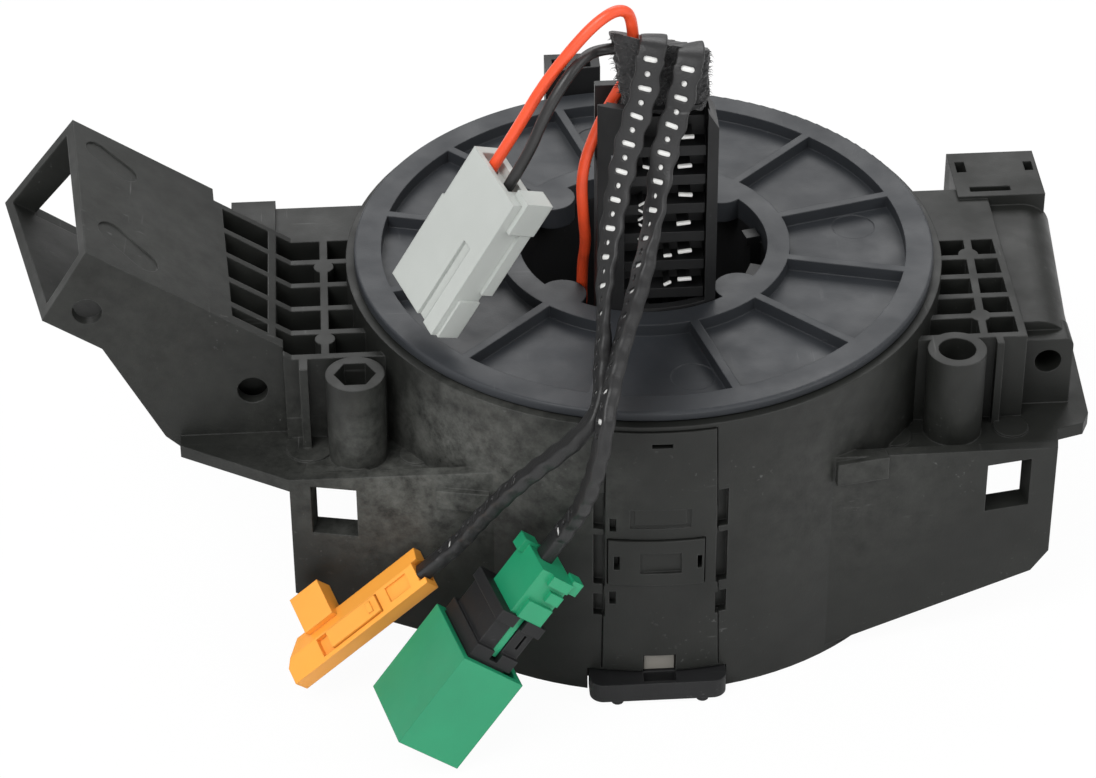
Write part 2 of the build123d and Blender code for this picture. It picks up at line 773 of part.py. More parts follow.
export_step(ribbon_solid, "parts/ribbon_cable.step")

# Rotor disc: ribbed plate with a raised rim, hub ring and ears round the bore
with BuildPart() as rotor_disc:
    with BuildSketch(Plane.XZ):
        with BuildLine():
            Polyline(
                (hub_bore, disc_underside),
                (drum_inner - 0.5, disc_underside),
                (drum_inner - 0.5, disc_top - disc_edge),
                (disc_radius, disc_top - disc_edge),
                (disc_radius, disc_top),
                (disc_radius - rim_width, disc_top),
                (disc_radius - rim_width, recess_floor),
                (hub_ring_radius, recess_floor),
                (hub_ring_radius, disc_top),
                (hub_bore, disc_top),
                close=True,
            )
        make_face()
    revolve(axis=Axis.Z)
    rim_edges = rotor_disc.edges().filter_by(GeomType.CIRCLE).group_by(Axis.Z)[-1].sort_by(SortBy.RADIUS)
    fillet(rim_edges[-1], 0.5)
    with BuildSketch(Plane.XY.offset(recess_floor)):
        with PolarLocations((hub_ring_radius + disc_radius - rim_width) / 2, rib_count, start_angle=rib_start):
            Rectangle(disc_radius - rim_width - hub_ring_radius + 1.0, rib_thickness)
    extrude(amount=recess_depth)
    with BuildSketch(Plane.XY.offset(disc_underside)):
        with PolarLocations(hub_bore - 0.3, ear_count, start_angle=45):
            Circle(ear_radius)
    extrude(amount=disc_top - disc_underside)
    with BuildSketch(Plane.XY.offset(recess_floor)):
        with PolarLocations(39.5, 4, start_angle=8):
            Circle(3.9)
    extrude(amount=-0.15, mode=Mode.SUBTRACT)
rotor_disc.part.label = "rotor_disc"
export_step(rotor_disc.part, "parts/rotor_disc.step")

# Hub sleeve under the disc, turning on the collar, with snap hooks that show in the bore
with BuildPart() as rotor_hub:
    with BuildSketch(Plane.XY.offset(cover_top + running_gap)):
        Circle(hub_outer)
        Circle(hub_bore, mode=Mode.SUBTRACT)
    extrude(amount=disc_underside - cover_top - running_gap)
    with BuildSketch(Plane.XY.offset(disc_underside - 9.0)):
        with PolarLocations(hub_bore - hook_depth / 2 + 0.4, 2, start_angle=-22, angular_range=224):
            Rectangle(hook_depth, hook_width)
        with PolarLocations(hub_bore - hook_depth / 2 + 0.4, 2, start_angle=14, angular_range=152):
            Rectangle(hook_depth, hook_width * 0.5)
    extrude(amount=9.0)
    with BuildSketch(Plane.XY.offset(disc_underside)):
        with PolarLocations(hub_bore - hook_depth / 2 - fit_gap - 0.2, 2, start_angle=-22, angular_range=224):
            Rectangle(hook_depth, hook_width)
        with PolarLocations(hub_bore - hook_depth / 2 - fit_gap - 0.2, 2, start_angle=14, angular_range=152):
            Rectangle(hook_depth, hook_width * 0.5)
    extrude(amount=1.6)
    # Ledge in the bore that the cable tower stands on
    with BuildSketch(Plane.XY.offset(tower_foot - 3.0)):
        Circle(hub_bore + 0.4)
        with Locations((0, tower_back - 0.6)):
            Rectangle(2 * hub_outer, 2 * hub_outer, align=(Align.CENTER, Align.MIN), mode=Mode.SUBTRACT)
    extrude(amount=3.0)
rotor_hub.part.label = "rotor_hub"
export_step(rotor_hub.part, "parts/rotor_hub.step")

# Cable tower: a channel that stands in the front of the bore, its face following the bore
tower_radius = hub_bore - 0.2
with BuildPart() as cable_tower:
    with BuildSketch(Plane.XY.offset(tower_foot)):
        with Locations(((tower_left + tower_right) / 2, (tower_back - tower_radius) / 2)):
            Rectangle(tower_right - tower_left, tower_radius + tower_back)
        Circle(tower_radius, mode=Mode.INTERSECT)
    extrude(amount=tower_top - tower_foot)
    with BuildSketch(Plane.XY.offset(tower_foot + tower_wall)):
        with Locations(((tower_left + tower_right) / 2, (tower_back - tower_radius) / 2)):
            Rectangle(tower_right - tower_left - 2 * tower_wall, tower_radius + tower_back - 2 * tower_wall)
        Circle(tower_radius - tower_wall, mode=Mode.INTERSECT)
    extrude(amount=tower_top, mode=Mode.SUBTRACT)
    # Foot flange that carries the feed wire, and the side opening it climbs through
    with BuildSketch(Plane.XY.offset(tower_foot)):
        with Locations((tower_left - 1.9, -12.6)):
            Rectangle(5.4, 6.4)
    extrude(amount=2.0)
    with BuildSketch(Plane.YZ.offset(tower_left)):
        with Locations((-16.6, (88.0 + tower_top) / 2)):
            Rectangle(6.0, tower_top - 88.0)
    extrude(amount=tower_wall, mode=Mode.SUBTRACT)
    # Front opening between the left plate and the right column
    with BuildSketch(Plane.XZ.offset(tower_radius)):
        with Locations((2.0, (disc_top + tower_top) / 2)):
            Rectangle(14.4, tower_top - disc_top - 1.0)
    extrude(amount=-(tower_radius + tower_back - tower_wall), mode=Mode.SUBTRACT)
    # Slot in the left plate and the sloping top of the right column
    with BuildSketch(Plane.XZ.offset(tower_radius)):
        with Locations((tower_left + 2.9, 88.5)):
            Rectangle(1.2, 9.0)
        with BuildLine():
            Polyline(
                (tower_right - 3.2, tower_top),
                (tower_right, tower_top - 6.0),
                (tower_right, tower_top),
                close=True,
            )
        make_face()
    extrude(amount=-12.0, mode=Mode.SUBTRACT)
cable_tower.part.label = "cable_tower"
export_step(cable_tower.part, "parts/cable_tower.step")

# Comb with rungs, clipped in the tower's front opening
comb_left = -5.0
comb_right = 9.0
comb_face = -19.4
comb_back = tower_back - tower_wall - fit_gap
with BuildPart() as tower_comb:
    with BuildSketch(Plane.XY.offset(disc_top - 4.0)):
        with Locations(((comb_left + comb_right) / 2, comb_back - 1.0)):
            Rectangle(comb_right - comb_left, 2.0)
    extrude(amount=comb_rungs * comb_pitch + 4.8)
    for rung in range(comb_rungs):
        with BuildSketch(Plane.XY.offset(disc_top + 0.8 + rung * comb_pitch)):
            with Locations(((comb_left + comb_right) / 2, (comb_back + comb_face) / 2)):
                Rectangle(comb_right - comb_left, comb_back - comb_face)
        extrude(amount=2.0)
tower_comb.part.label = "tower_comb"
export_step(tower_comb.part, "parts/tower_comb.step")

# Radii of a cord's arcs: each is 0.45 of its shorter run over the tangent of half the turn
def bend_radii(points):
    radii = []
    for before, here, after in zip(points, points[1:], points[2:]):
        first = Vector(*here) - Vector(*before)
        second = Vector(*after) - Vector(*here)
        turn = math.radians(first.get_angle(second))
        shorter = min(first.length, second.length)
        radii.append(0.45 * shorter / math.tan(turn / 2))
    return radii


# Plane across a cord at a point, facing along the run to the next point
def section_plane(here, ahead):
    heading = Vector(*ahead) - Vector(*here)
    return Plane(origin=here, z_dir=heading)


# A place given in a plug's own frame, as a tuple
def place(frame, width, thickness, length):
    spot = frame.from_local_coords(Vector(width, thickness, length))
    return (spot.X, spot.Y, spot.Z)


# A box drawn on a plug's section and extruded along the plug
def block(frame, start, length, left, right, low, high, mode=Mode.ADD):
    with BuildSketch(frame.offset(start)) as section:
        with Locations(((left + right) / 2, (low + high) / 2)):
            Rectangle(right - left, high - low)
    extrude(section.sketch, amount=length, mode=mode)


# Section frames of the three connectors: X across the width, Z from the cord toward the mating end
grey_frame = Plane(origin=(-30.9, -21.1, 96.0), x_dir=(0.399, -0.880, -0.258), z_dir=(-0.482, 0.035, -0.876))
green_frame = Plane(origin=(-36.2, -71.3, 24.6), x_dir=(-0.224, 0.971, -0.05), z_dir=(-0.61, -0.21, -0.765))
orange_frame = Plane(origin=(-41.85, -52.2, 26.1), x_dir=(-0.360, 0.887, 0.288), z_dir=(-0.772, -0.097, -0.628))

# Connector sizes: width across, depth through, length along
grey_width = 15.0
grey_depth = 5.6
grey_length = 30.4
green_width = 17.0
green_depth = 13.2
green_length = 19.4
green_wall = 1.2
green_seat = 13.0
insert_reach = 10.5
cover_reach = 20.0
orange_width = 8.3
orange_depth = 3.6
orange_length = 31.0
lock_travel = 2.0
terminal_size = 2.6
wire_seat = 3.0

# Routes of the wires and leads, each ending square on the piece it enters
tail = 6.0
red_end = place(grey_frame, 4.0, -2.4, wire_seat)
black_end = place(grey_frame, 9.4, -2.4, wire_seat)
orange_entry = place(orange_frame, 3.2, 1.7, 1.2)
green_entry = place(green_frame, 8.0, 5.6, -cover_reach)
red_route = [
    (-3.5, -17.8, sleeve_top - 4.0),
    (-3.5, -17.8, 118.0),
    (-6.0, -19.6, 121.2),
    (-10.2, -21.2, 119.4),
    (-15.0, -22.2, 114.2),
    (-19.8, -23.0, 107.7),
    place(grey_frame, 4.0, -2.4, wire_seat - 2 * tail),
    red_end,
]
black_route = [
    (-5.6, -18.0, 112.4),
    (-9.2, -18.0, 112.4),
    (-12.6, -22.2, 113.2),
    (-16.4, -25.8, 110.0),
    (-19.6, -27.4, 104.6),
    place(grey_frame, 9.4, -2.4, wire_seat - 1.6 * tail),
    black_end,
]
feed_route = [
    (-12.0, -11.0, tower_foot + 2.0),
    (-12.0, -11.0, 63.5),
    (-11.4, -15.4, 71.5),
    (-12.2, -18.4, 79.5),
    (-12.5, -18.8, 88.5),
    (-10.0, -17.2, 95.4),
    (-6.8, -16.8, 102.2),
    (-3.4, -16.8, 108.0),
]
lead_left_route = [
    (-0.4, -17.6, 111.4),
    (-0.6, -23.6, 111.4),
    (-2.1, -26.2, 108.0),
    (-5.1, -28.2, 100.3),
    (-7.9, -32.4, 88.9),
    (-10.2, -40.0, 78.7),
    (-11.9, -52.0, 71.3),
    (-13.6, -60.0, 67.2),
    (-18.5, -60.8, 62.2),
    (-26.0, -57.6, 51.4),
    (-33.2, -50.4, 37.2),
    place(orange_frame, 3.2, 1.7, 1.2 - 1.4 * tail),
    orange_entry,
]
lead_right_route = [
    (5.6, -17.6, 110.4),
    (5.4, -23.4, 110.4),
    (3.4, -26.2, 106.6),
    (0.9, -28.4, 98.8),
    (-1.2, -33.4, 87.8),
    (-4.2, -41.5, 79.6),
    (-8.6, -53.5, 74.4),
    (-11.4, -63.6, 69.8),
    (-12.8, -65.4, 60.6),
    (-15.2, -62.2, 49.2),
    place(green_frame, 8.0, 5.6, -cover_reach - 1.2 * tail),
    green_entry,
]

# Fabric sleeve at the tower's mouth, with a pocket for each cord
with BuildPart() as tape_sleeve:
    with BuildSketch(Plane.XY.offset(tower_top)):
        with Locations((2.0, -17.2)):
            RectangleRounded(14.6, 7.4, 3.0)
    with BuildSketch(Plane.XY.offset(sleeve_top)):
        with Locations((0.9, -17.4)):
            RectangleRounded(16.4, 6.4, 2.6)
    loft()
    for route in (red_route, black_route, lead_left_route, lead_right_route):
        size = lead_diameter if route in (lead_left_route, lead_right_route) else wire_diameter
        with BuildSketch(section_plane(route[0], route[1])):
            Circle(size / 2 + pocket_gap)
        extrude(amount=tail, mode=Mode.SUBTRACT)
    with BuildSketch(section_plane(feed_route[-1], feed_route[-2])):
        Circle(wire_diameter / 2 + pocket_gap)
    extrude(amount=tail, mode=Mode.SUBTRACT)
tape_sleeve.part.label = "tape_sleeve"
export_step(tape_sleeve.part, "parts/tape_sleeve.step")

# Wires and leads, round and swept along their routes
with BuildPart() as red_wire:
    with BuildLine() as red_path:
        FilletPolyline(*red_route, radius=bend_radii(red_route))
    with BuildSketch(section_plane(red_route[0], red_route[1])):
        Circle(wire_diameter / 2)
    sweep(path=red_path.line)
red_wire.part.label = "red_wire"
export_step(red_wire.part, "parts/red_wire.step")

with BuildPart() as black_wire:
    with BuildLine() as black_path:
        FilletPolyline(*black_route, radius=bend_radii(black_route))
    with BuildSketch(section_plane(black_route[0], black_route[1])):
        Circle(wire_diameter / 2)
    sweep(path=black_path.line)
black_wire.part.label = "black_wire"
export_step(black_wire.part, "parts/black_wire.step")

with BuildPart() as feed_wire:
    with BuildLine() as feed_path:
        FilletPolyline(*feed_route, radius=bend_radii(feed_route))
    with BuildSketch(section_plane(feed_route[0], feed_route[1])):
        Circle(wire_diameter / 2)
    sweep(path=feed_path.line)
feed_wire.part.label = "feed_wire"
export_step(feed_wire.part, "parts/feed_wire.step")

with BuildPart() as lead_left:
    with BuildLine() as left_path:
        FilletPolyline(*lead_left_route, radius=bend_radii(lead_left_route))
    with BuildSketch(section_plane(lead_left_route[0], lead_left_route[1])):
        Circle(lead_diameter / 2)
    sweep(path=left_path.line)
lead_left.part.label = "lead_left"
export_step(lead_left.part, "parts/lead_left.step")

with BuildPart() as lead_right:
    with BuildLine() as right_path:
        FilletPolyline(*lead_right_route, radius=bend_radii(lead_right_route))
    with BuildSketch(section_plane(lead_right_route[0], lead_right_route[1])):
        Circle(lead_diameter / 2)
    sweep(path=right_path.line)
lead_right.part.label = "lead_right"
export_step(lead_right.part, "parts/lead_right.step")

for name, route, path, solid, size in (
    ("red", red_route, red_path, red_wire, wire_diameter),
    ("black", black_route, black_path, black_wire, wire_diameter),
    ("feed", feed_route, feed_path, feed_wire, wire_diameter),
    ("left lead", lead_left_route, left_path, lead_left, lead_diameter),
    ("right lead", lead_right_route, right_path, lead_right, lead_diameter),
):
    run = path.wire().length
    swept = math.pi * size**2 / 4 * run
    print(name, "radii", [round(r, 1) for r in bend_radii(route)])
    print(name, "length", round(run, 1), "volume", round(solid.part.volume, 1), "expected", round(swept, 1))

# Grey two way connector: wire bores, terminal cells, a latch groove and a latch arm behind
with BuildPart() as grey_connector:
    block(grey_frame, 0, grey_length, 0, grey_width, -grey_depth, 0)
    block(grey_frame, 11.4, grey_length - 11.4, -0.5, 1.0, -grey_depth, 0)
    block(grey_frame, 22.0, grey_length - 22.0, grey_width - 1.0, grey_width + 0.6, -grey_depth, -1.2)
    block(grey_frame, -1.2, 7.0, 12.2, grey_width + 1.0, -grey_depth - 1.8, -1.8)
    block(grey_frame, 4.0, 16.0, 12.8, grey_width + 0.8, -grey_depth - 1.4, -grey_depth + 1.0)
    block(grey_frame, 13.0, grey_length, 9.6, 11.8, -0.7, 1.0, Mode.SUBTRACT)
    block(grey_frame, 0, 1.6, 1.6, 11.4, -4.2, -0.9, Mode.SUBTRACT)
    for cell in (4.0, 9.4):
        half = terminal_size / 2 + 0.2
        block(grey_frame, wire_seat, grey_length, cell - half, cell + half, -2.4 - half, -2.4 + half, Mode.SUBTRACT)
        with BuildSketch(grey_frame.offset(0)):
            with Locations((cell, -2.4)):
                Circle(wire_diameter / 2 + pocket_gap)
        extrude(amount=wire_seat, mode=Mode.SUBTRACT)
grey_connector.part.label = "grey_connector"
export_step(grey_connector.part, "parts/grey_connector.step")

# Receptacles inside the grey connector
with BuildPart() as grey_terminals:
    for cell in (4.0, 9.4):
        half = terminal_size / 2
        block(grey_frame, wire_seat, 18.0, cell - half, cell + half, -2.4 - half - 0.2, -2.4 + half)
        block(grey_frame, 11.0, 20.0, cell - half + 0.5, cell + half - 0.5, -2.4 - half + 0.4, -2.4 + half - 0.5, Mode.SUBTRACT)
grey_terminals.part.label = "grey_terminals"
export_step(grey_terminals.part, "parts/grey_terminals.step")

# Green shell with a clipped corner, a seat for the insert and contact cells at the mating end
with BuildPart() as green_plug:
    block(green_frame, 0, green_length, 0, green_width, 0, green_depth)
    block(green_frame, 0, green_seat, green_wall, green_width - green_wall, green_wall, green_depth - green_wall, Mode.SUBTRACT)
    for column in range(5):
        left = 2.4 + column * 2.6
        block(green_frame, green_seat, green_length, left, left + 1.6, 2.6, 5.6, Mode.SUBTRACT)
        block(green_frame, green_seat, green_length, left, left + 1.6, 7.4, 10.4, Mode.SUBTRACT)
    corner = green_frame.rotated((0, -90, 0)).offset(-green_width)
    with BuildSketch(corner) as clip:
        with BuildLine():
            Polyline((0, green_depth), (0, green_depth - 3.4), (2.6, green_depth), close=True)
        make_face()
    extrude(clip.sketch, amount=green_width, mode=Mode.SUBTRACT)
green_plug.part.label = "green_plug"
export_step(green_plug.part, "parts/green_plug.step")

# Black insert seated in the green shell, with a slotted frame outside it
with BuildPart() as green_insert:
    inset = green_wall + fit_gap
    block(green_frame, -1.6, green_seat + 1.6, inset, green_width - inset, inset, green_depth - inset - 2.6)
    block(green_frame, -insert_reach, insert_reach, 2.2, green_width - 2.2, 1.8, green_depth - inset - 1.6)
    block(green_frame, -3.0, 2.6, 1.2, green_width - 1.2, 1.2, green_depth - 3.0)
    block(green_frame, -insert_reach, 2.2, 1.4, green_width - 1.6, 1.2, green_depth - 2.4)
    block(green_frame, -insert_reach, insert_reach - 1.2, 0, 3.4, 5.0, 6.8, Mode.SUBTRACT)
    block(green_frame, -7.6, 3.0, 0, 3.0, 8.6, 9.1, Mode.SUBTRACT)
green_insert.part.label = "green_insert"
export_step(green_insert.part, "parts/green_insert.step")

# Green wire cover behind the insert, its tongue lying in the insert's slot
with BuildPart() as green_cover:
    block(green_frame, -cover_reach, cover_reach - insert_reach, 2.4, 12.6, 3.2, 10.0)
    block(green_frame, -insert_reach, insert_reach - 1.6, 2.4, 3.4, 5.2, 6.6)
    block(green_frame, -insert_reach - 3.6, 3.6, 1.5, 2.6, 4.4, 9.6)
    block(green_frame, -insert_reach - 6.6, 2.0, 1.5, 2.6, 7.0, 9.8)
    block(green_frame, -cover_reach, 2.0, 1.5, 2.6, 5.4, 9.8)
    block(green_frame, -cover_reach - 0.6, 2.6, 2.4, 5.2, 9.8, 12.0)
    block(green_frame, -cover_reach - 0.6, 2.6, 10.4, 13.2, 2.0, 5.0)
green_cover.part.label = "green_cover"
export_step(green_cover.part, "parts/green_cover.step")

# Orange plug: bevelled bar with a side nose, a relief window and a channel for its lock
orange_plan = Plane(origin=orange_frame.origin, x_dir=orange_frame.z_dir, z_dir=orange_frame.y_dir)
with BuildPart() as orange_plug:
    with BuildSketch(orange_plan):
        with BuildLine():
            Polyline(
                (0, 0),
                (orange_length, 0),
                (orange_length, 3.4),
                (orange_length - 3.4, orange_width),
                (0, orange_width),
                close=True,
            )
        make_face()
    extrude(amount=orange_depth)
    with BuildSketch(orange_frame):
        with BuildLine():
            Polyline(
                (0, 0.0),
                (5.0, 0.0),
                (orange_width, 1.4),
                (orange_width, orange_depth),
                (0, orange_depth),
                close=True,
            )
        make_face()
    extrude(amount=orange_length, mode=Mode.INTERSECT)
    block(orange_frame, 18.4, 6.4, orange_width - 1.6, 14.2, -0.8, 3.4)
    block(orange_frame, 19.4, 4.4, orange_width + 1.0, 14.4, 0.4, 2.2, Mode.SUBTRACT)
    block(orange_frame, 0, 1.2, 1.2, 5.4, -1.0, orange_depth - 0.4, Mode.SUBTRACT)
    block(orange_frame, 3.2, 4.6, 1.4, 4.4, -1.0, 0.5, Mode.SUBTRACT)
    block(orange_frame, 9.8, 14.0, 0.9, 4.7, -1.0, 1.2, Mode.SUBTRACT)
    block(orange_frame, 25.4, 7.0, 2.0, 3.4, 1.4, 2.6, Mode.SUBTRACT)
orange_plug.part.label = "orange_plug"
export_step(orange_plug.part, "parts/orange_plug.step")

# Sliding lock in the channel of the orange plug
with BuildPart() as orange_lock:
    block(orange_frame, 10.0, 11.4, 1.1, 4.5, -0.5, 1.1)
    block(orange_frame, 11.2, 1.0, 1.8, 3.8, -0.9, 0.0)
orange_lock.part.label = "orange_lock"
export_step(orange_lock.part, "parts/orange_lock.step")
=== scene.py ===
import math
import random

import bmesh
import bpy
from mathutils import Matrix, Vector, noise


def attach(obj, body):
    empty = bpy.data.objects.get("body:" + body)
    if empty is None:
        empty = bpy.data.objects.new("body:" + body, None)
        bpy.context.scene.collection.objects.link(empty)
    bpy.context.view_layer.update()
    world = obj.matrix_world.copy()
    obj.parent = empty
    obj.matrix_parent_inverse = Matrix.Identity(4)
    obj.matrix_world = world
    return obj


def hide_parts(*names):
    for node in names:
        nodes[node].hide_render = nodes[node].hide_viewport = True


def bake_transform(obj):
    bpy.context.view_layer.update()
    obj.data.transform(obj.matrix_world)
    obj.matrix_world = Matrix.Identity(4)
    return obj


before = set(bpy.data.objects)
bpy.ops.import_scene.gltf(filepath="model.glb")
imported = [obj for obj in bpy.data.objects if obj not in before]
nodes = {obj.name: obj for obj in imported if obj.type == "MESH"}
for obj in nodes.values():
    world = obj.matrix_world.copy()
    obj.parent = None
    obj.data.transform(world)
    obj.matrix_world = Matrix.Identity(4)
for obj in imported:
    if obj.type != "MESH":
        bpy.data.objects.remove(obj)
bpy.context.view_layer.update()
random.seed(7)
scene = bpy.context.scene
MM = 0.001


def mm(x, y, z):
    """A place given in millimetres."""
    return Vector((x * MM, y * MM, z * MM))


def add_object(name, data):
    """A new object in the scene."""
    obj = bpy.data.objects.new(name, data)
    scene.collection.objects.link(obj)
    return obj


# Camera
CAM_AZ, CAM_EL, CAM_ROLL = math.radians(-3.2), math.radians(36.15), math.radians(-0.5)
CAM_DISTANCE = 0.6163
CAM_TARGET = mm(-20.0, -44.25, 61.0)
FOCAL_PX, PHOTO_WIDTH, SENSOR = 3600.0, 1096.0, 36.0


def make_camera():
    """The camera that was fitted to the photograph."""
    back = Vector(
        (
            math.sin(CAM_AZ) * math.cos(CAM_EL),
            -math.cos(CAM_AZ) * math.cos(CAM_EL),
            math.sin(CAM_EL),
        )
    )
    right = Vector((math.cos(CAM_AZ), math.sin(CAM_AZ), 0.0))
    up = back.cross(right)
    right2 = right * math.cos(CAM_ROLL) + up * math.sin(CAM_ROLL)
    up2 = up * math.cos(CAM_ROLL) - right * math.sin(CAM_ROLL)
    data = bpy.data.cameras.new("camera")
    data.sensor_fit = "HORIZONTAL"
    data.sensor_width = SENSOR
    data.lens = FOCAL_PX / PHOTO_WIDTH * SENSOR
    data.clip_start, data.clip_end = 0.01, 20.0
    cam = add_object("camera", data)
    rotation = Matrix((right2, up2, back)).transposed()
    cam.matrix_world = Matrix.Translation(CAM_TARGET + back * CAM_DISTANCE) @ rotation.to_4x4()
    scene.camera = cam


make_camera()


# Material helpers
class Nodes:
    """A short way to make and join shader nodes."""

    def __init__(self, name):
        self.mat = bpy.data.materials.new(name)
        self.mat.use_nodes = True
        self.tree = self.mat.node_tree
        self.shader = self.tree.nodes["Principled BSDF"]
        self.coord = self.tree.nodes.new("ShaderNodeTexCoord").outputs["Object"]

    def link(self, source, target):
        self.tree.links.new(source, target)

    def noise(self, scale, detail=3.0, roughness=0.5, stretch=None, distortion=0.0):
        node = self.tree.nodes.new("ShaderNodeTexNoise")
        node.inputs["Scale"].default_value = scale
        node.inputs["Detail"].default_value = detail
        node.inputs["Roughness"].default_value = roughness
        node.inputs["Distortion"].default_value = distortion
        source = self.coord
        if stretch:
            mapping = self.tree.nodes.new("ShaderNodeMapping")
            mapping.inputs["Scale"].default_value = stretch[:3]
            if len(stretch) > 3:
                mapping.inputs["Rotation"].default_value = stretch[3:]
            self.link(source, mapping.inputs["Vector"])
            source = mapping.outputs["Vector"]
        self.link(source, node.inputs["Vector"])
        return node.outputs["Fac"]

    def ramp(self, source, low, high, first=0.0, last=1.0):
        node = self.tree.nodes.new("ShaderNodeMapRange")
        node.inputs["From Min"].default_value = low
        node.inputs["From Max"].default_value = high
        node.inputs["To Min"].default_value = first
        node.inputs["To Max"].default_value = last
        self.link(source, node.inputs["Value"])
        return node.outputs["Result"]

    def math(self, kind, a, b):
        node = self.tree.nodes.new("ShaderNodeMath")
        node.operation = kind
        for value, socket in ((a, node.inputs[0]), (b, node.inputs[1])):
            if isinstance(value, (int, float)):
                socket.default_value = value
            else:
                self.link(value, socket)
        return node.outputs[0]

    def mix(self, factor, a, b):
        node = self.tree.nodes.new("ShaderNodeMix")
        node.data_type = "RGBA"
        sockets = [s for s in node.inputs if s.type == "RGBA"]
        for value, socket in ((a, sockets[0]), (b, sockets[1])):
            if isinstance(value, (tuple, list)):
                socket.default_value = (*value, 1.0)
            else:
                self.link(value, socket)
        fac = [s for s in node.inputs if s.type == "VALUE"][0]
        if isinstance(factor, (int, float)):
            fac.default_value = factor
        else:
            self.link(factor, fac)
        return [s for s in node.outputs if s.type == "RGBA"][0]

    def near(self, x, y, z, inner, outer):
        """1 within inner metres of a point, 0 beyond outer."""
        node = self.tree.nodes.new("ShaderNodeVectorMath")
        node.operation = "DISTANCE"
        self.link(self.coord, node.inputs[0])
        node.inputs[1].default_value = (x * MM, y * MM, z * MM)
        return self.ramp(node.outputs["Value"], inner * MM, outer * MM, 1.0, 0.0)

    def bevel(self, radius):
        node = self.tree.nodes.new("ShaderNodeBevel")
        node.samples = 4
        node.inputs["Radius"].default_value = radius * MM
        return node.outputs["Normal"]

    def worn_and_highlit_edges(self, softened, amount):
        """Above 0 where the softened normal leaves the face's own, so along edges, and broken up by noise;
        the paler colour it carries is partly wear and partly a painted edge highlight.
        """
        geometry = self.tree.nodes.new("ShaderNodeNewGeometry")
        node = self.tree.nodes.new("ShaderNodeVectorMath")
        node.operation = "DOT_PRODUCT"
        self.link(softened, node.inputs[0])
        self.link(geometry.outputs["Normal"], node.inputs[1])
        turned = self.math("SUBTRACT", 1.0, node.outputs["Value"])
        edges = self.ramp(turned, 0.01, 0.1)
        patches = self.ramp(self.noise(90.0, 4.0, 0.65), 0.36, 0.62)
        return self.math("MULTIPLY", self.math("MULTIPLY", edges, patches), amount)

    def bump(self, height, strength, distance, normal=None):
        node = self.tree.nodes.new("ShaderNodeBump")
        node.inputs["Strength"].default_value = strength
        node.inputs["Distance"].default_value = distance * MM
        self.link(height, node.inputs["Height"])
        if normal is not None:
            self.link(normal, node.inputs["Normal"])
        return node.outputs["Normal"]


DUST_COLOUR = (0.145, 0.148, 0.136)


def plastic(
    name, colour, rough=0.45, vary=0.25, grain=0.25, scuff=0.0, specular=0.5, edge=0.35, dust=(), wear_and_highlight=0.0
):
    """Moulded plastic: blotches of tone, spark grain, fine scratches, pale edges that are partly wear and
    partly a painted edge highlight, dust near places.
    """
    n = Nodes(name)
    broad = n.noise(38.0, 4.0, 0.6)
    dark = tuple(c * (1.0 - vary) for c in colour)
    light = tuple(min(1.0, c * (1.0 + vary)) for c in colour)
    base = n.mix(n.ramp(broad, 0.3, 0.7), dark, light)
    scratch_a = n.noise(900.0, 2.0, 0.7, (0.9, 0.06, 0.9, 0.3, 0.2, 0.5))
    scratch_b = n.noise(700.0, 2.0, 0.7, (0.05, 0.9, 0.7, 0.1, -0.4, 0.2))
    lines = n.math("MAXIMUM", n.ramp(scratch_a, 0.66, 0.74), n.ramp(scratch_b, 0.67, 0.75))
    patches = n.ramp(n.noise(70.0, 3.0, 0.6), 0.5, 0.68)
    marks = n.math("MULTIPLY", n.math("MULTIPLY", lines, patches), scuff)
    pale = tuple(min(1.0, 0.16 + c * 1.3) for c in colour)
    base = n.mix(marks, base, pale)
    normal = n.bevel(edge)
    # Paler colour along the edges: partly worn plastic, partly a painted edge highlight.
    if wear_and_highlight:
        base = n.mix(n.worn_and_highlit_edges(normal, wear_and_highlight), base, tuple(0.05 + c * 1.6 for c in colour))
    roughness = n.ramp(n.noise(120.0, 3.0, 0.55), 0.3, 0.7, rough - 0.06, rough + 0.1)
    for x, y, z, inner, outer, amount in dust:
        speck = n.ramp(n.noise(300.0, 5.0, 0.72), 0.3, 0.72)
        place = n.near(x, y, z, inner, outer)
        fac = n.math("MULTIPLY", n.math("MULTIPLY", speck, place), amount)
        base = n.mix(fac, base, DUST_COLOUR)
        roughness = n.math("MAXIMUM", roughness, n.math("MULTIPLY", fac, 0.9))
    n.link(base, n.shader.inputs["Base Color"])
    n.link(roughness, n.shader.inputs["Roughness"])
    n.shader.inputs["Specular IOR Level"].default_value = specular
    spark = n.noise(2600.0, 2.0, 0.5)
    height = n.math("ADD", spark, n.math("MULTIPLY", marks, -0.6))
    n.link(n.bump(height, grain, 0.06, normal), n.shader.inputs["Normal"])
    return n.mat


def cloth(name, colour, scale=1400.0, rough=0.85):
    """Woven or felted cover: crossing threads, fuzzy tone and a soft sheen."""
    n = Nodes(name)
    warp = n.noise(scale, 2.0, 0.6, (1.0, 0.15, 1.0))
    weft = n.noise(scale, 2.0, 0.6, (0.15, 1.0, 0.3))
    threads = n.math("MAXIMUM", warp, weft)
    light = tuple(min(1.0, c * 2.4 + 0.008) for c in colour)
    n.link(n.mix(n.ramp(threads, 0.45, 0.75), colour, light), n.shader.inputs["Base Color"])
    n.link(n.ramp(n.noise(300.0), 0.3, 0.7, rough - 0.12, rough + 0.05), n.shader.inputs["Roughness"])
    n.shader.inputs["Sheen Weight"].default_value = 0.25
    n.link(n.bump(threads, 0.6, 0.25), n.shader.inputs["Normal"])
    return n.mat


